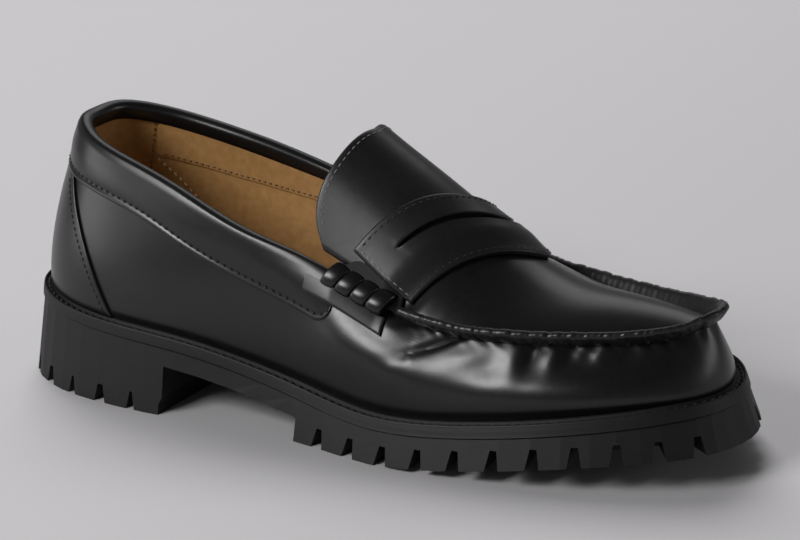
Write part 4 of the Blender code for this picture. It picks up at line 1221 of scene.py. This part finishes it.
line = ring(u, STITCH_PLACE[0], top - STITCH_PLACE[1])
line = np.concatenate([line, line[:1]])
stitches("welt_stitches", line, UP + 0 * line, 3.9, 2.6, 0.55, 0.1, BLACK_THREAD)
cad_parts["outsole"].data.materials.clear()
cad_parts["outsole"].data.materials.append(TREAD_RUBBER)


# Camera at the photo's angle
CAMERA_TURN = 31.3
CAMERA_RISE = 19.1
CAMERA_ROLL = -1.6
CAMERA_FAR = 1.2004
CAMERA_LENS = 140.39
TARGET = (155.4, 5.5, 53.5)

turn = math.radians(CAMERA_TURN)
climb = math.radians(CAMERA_RISE)
back = Vector((math.sin(turn) * math.cos(climb), -math.cos(turn) * math.cos(climb), math.sin(climb)))
camera_data = bpy.data.cameras.new("camera")
camera_data.lens = CAMERA_LENS
camera_data.sensor_width = 36.0
camera_data.clip_end = 50.0
camera = bpy.data.objects.new("camera", camera_data)
bpy.context.scene.collection.objects.link(camera)
target = Vector([(a - b) * MM for a, b in zip(TARGET, ORIGIN)])
camera.matrix_world = (Matrix.Translation(target + back * CAMERA_FAR)
                       @ (-back).to_track_quat("-Z", "Y").to_matrix().to_4x4()
                       @ Matrix.Rotation(math.radians(CAMERA_ROLL), 4, "Z"))
bpy.context.scene.camera = camera

# Floor and soft light
floor_mesh = bpy.data.meshes.new("floor")
floor_mesh.from_pydata([(-6, -6, 0), (6, -6, 0), (6, 6, 0), (-6, 6, 0)], [], [(0, 1, 2, 3)])
floor = bpy.data.objects.new("floor", floor_mesh)
bpy.context.scene.collection.objects.link(floor)
floor_look, tree, shader = nodes_of("floor_grey")
shader.inputs["Base Color"].default_value = (0.42, 0.41, 0.42, 1)
shader.inputs["Roughness"].default_value = 0.8
shader.inputs["Specular IOR Level"].default_value = 0.2
floor_mesh.materials.append(floor_look)


def softbox(name, turn, rise, far, wide, tall, power, shine=True):
    """Rectangular light aimed at the shoe: turn is from -Y towards +X, in degrees."""
    a = math.radians(turn)
    e = math.radians(rise)
    way = Vector((math.sin(a) * math.cos(e), -math.cos(a) * math.cos(e), math.sin(e)))
    data = bpy.data.lights.new(name, "AREA")
    data.shape = "RECTANGLE"
    data.size = wide
    data.size_y = tall
    data.energy = power
    made = bpy.data.objects.new(name, data)
    bpy.context.scene.collection.objects.link(made)
    made.visible_glossy = shine
    spot = Vector((0.0, 0.0, 0.05)) + way * far
    made.matrix_world = Matrix.Translation(spot) @ (-way).to_track_quat("-Z", "Y").to_matrix().to_4x4()


softbox("key", -28, 35, 1.6, 0.8, 0.5, 20)
softbox("left", -62, 8, 1.6, 0.7, 0.5, 3.2)
softbox("right", 110, 12, 2.0, 0.8, 0.6, 4)
softbox("back", -158, 42, 2.0, 1.6, 0.9, 6)
softbox("fill", -140, 55, 2.4, 1.2, 1.2, 48, shine=False)

world = bpy.data.worlds.new("room")
bpy.context.scene.world = world
world.use_nodes = True
tree = world.node_tree
sky = tree.nodes["Background"]
source = tree.nodes.new("ShaderNodeTexCoord")
axes = tree.nodes.new("ShaderNodeSeparateXYZ")
tree.links.new(source.outputs["Generated"], axes.inputs["Vector"])
tree.links.new(tint(tree, axes.outputs["Z"], (0.42, 0.41, 0.43), (0.11, 0.11, 0.115)), sky.inputs["Color"])
sky.inputs["Strength"].default_value = 0.43

bpy.context.scene.view_settings.view_transform = "Standard"
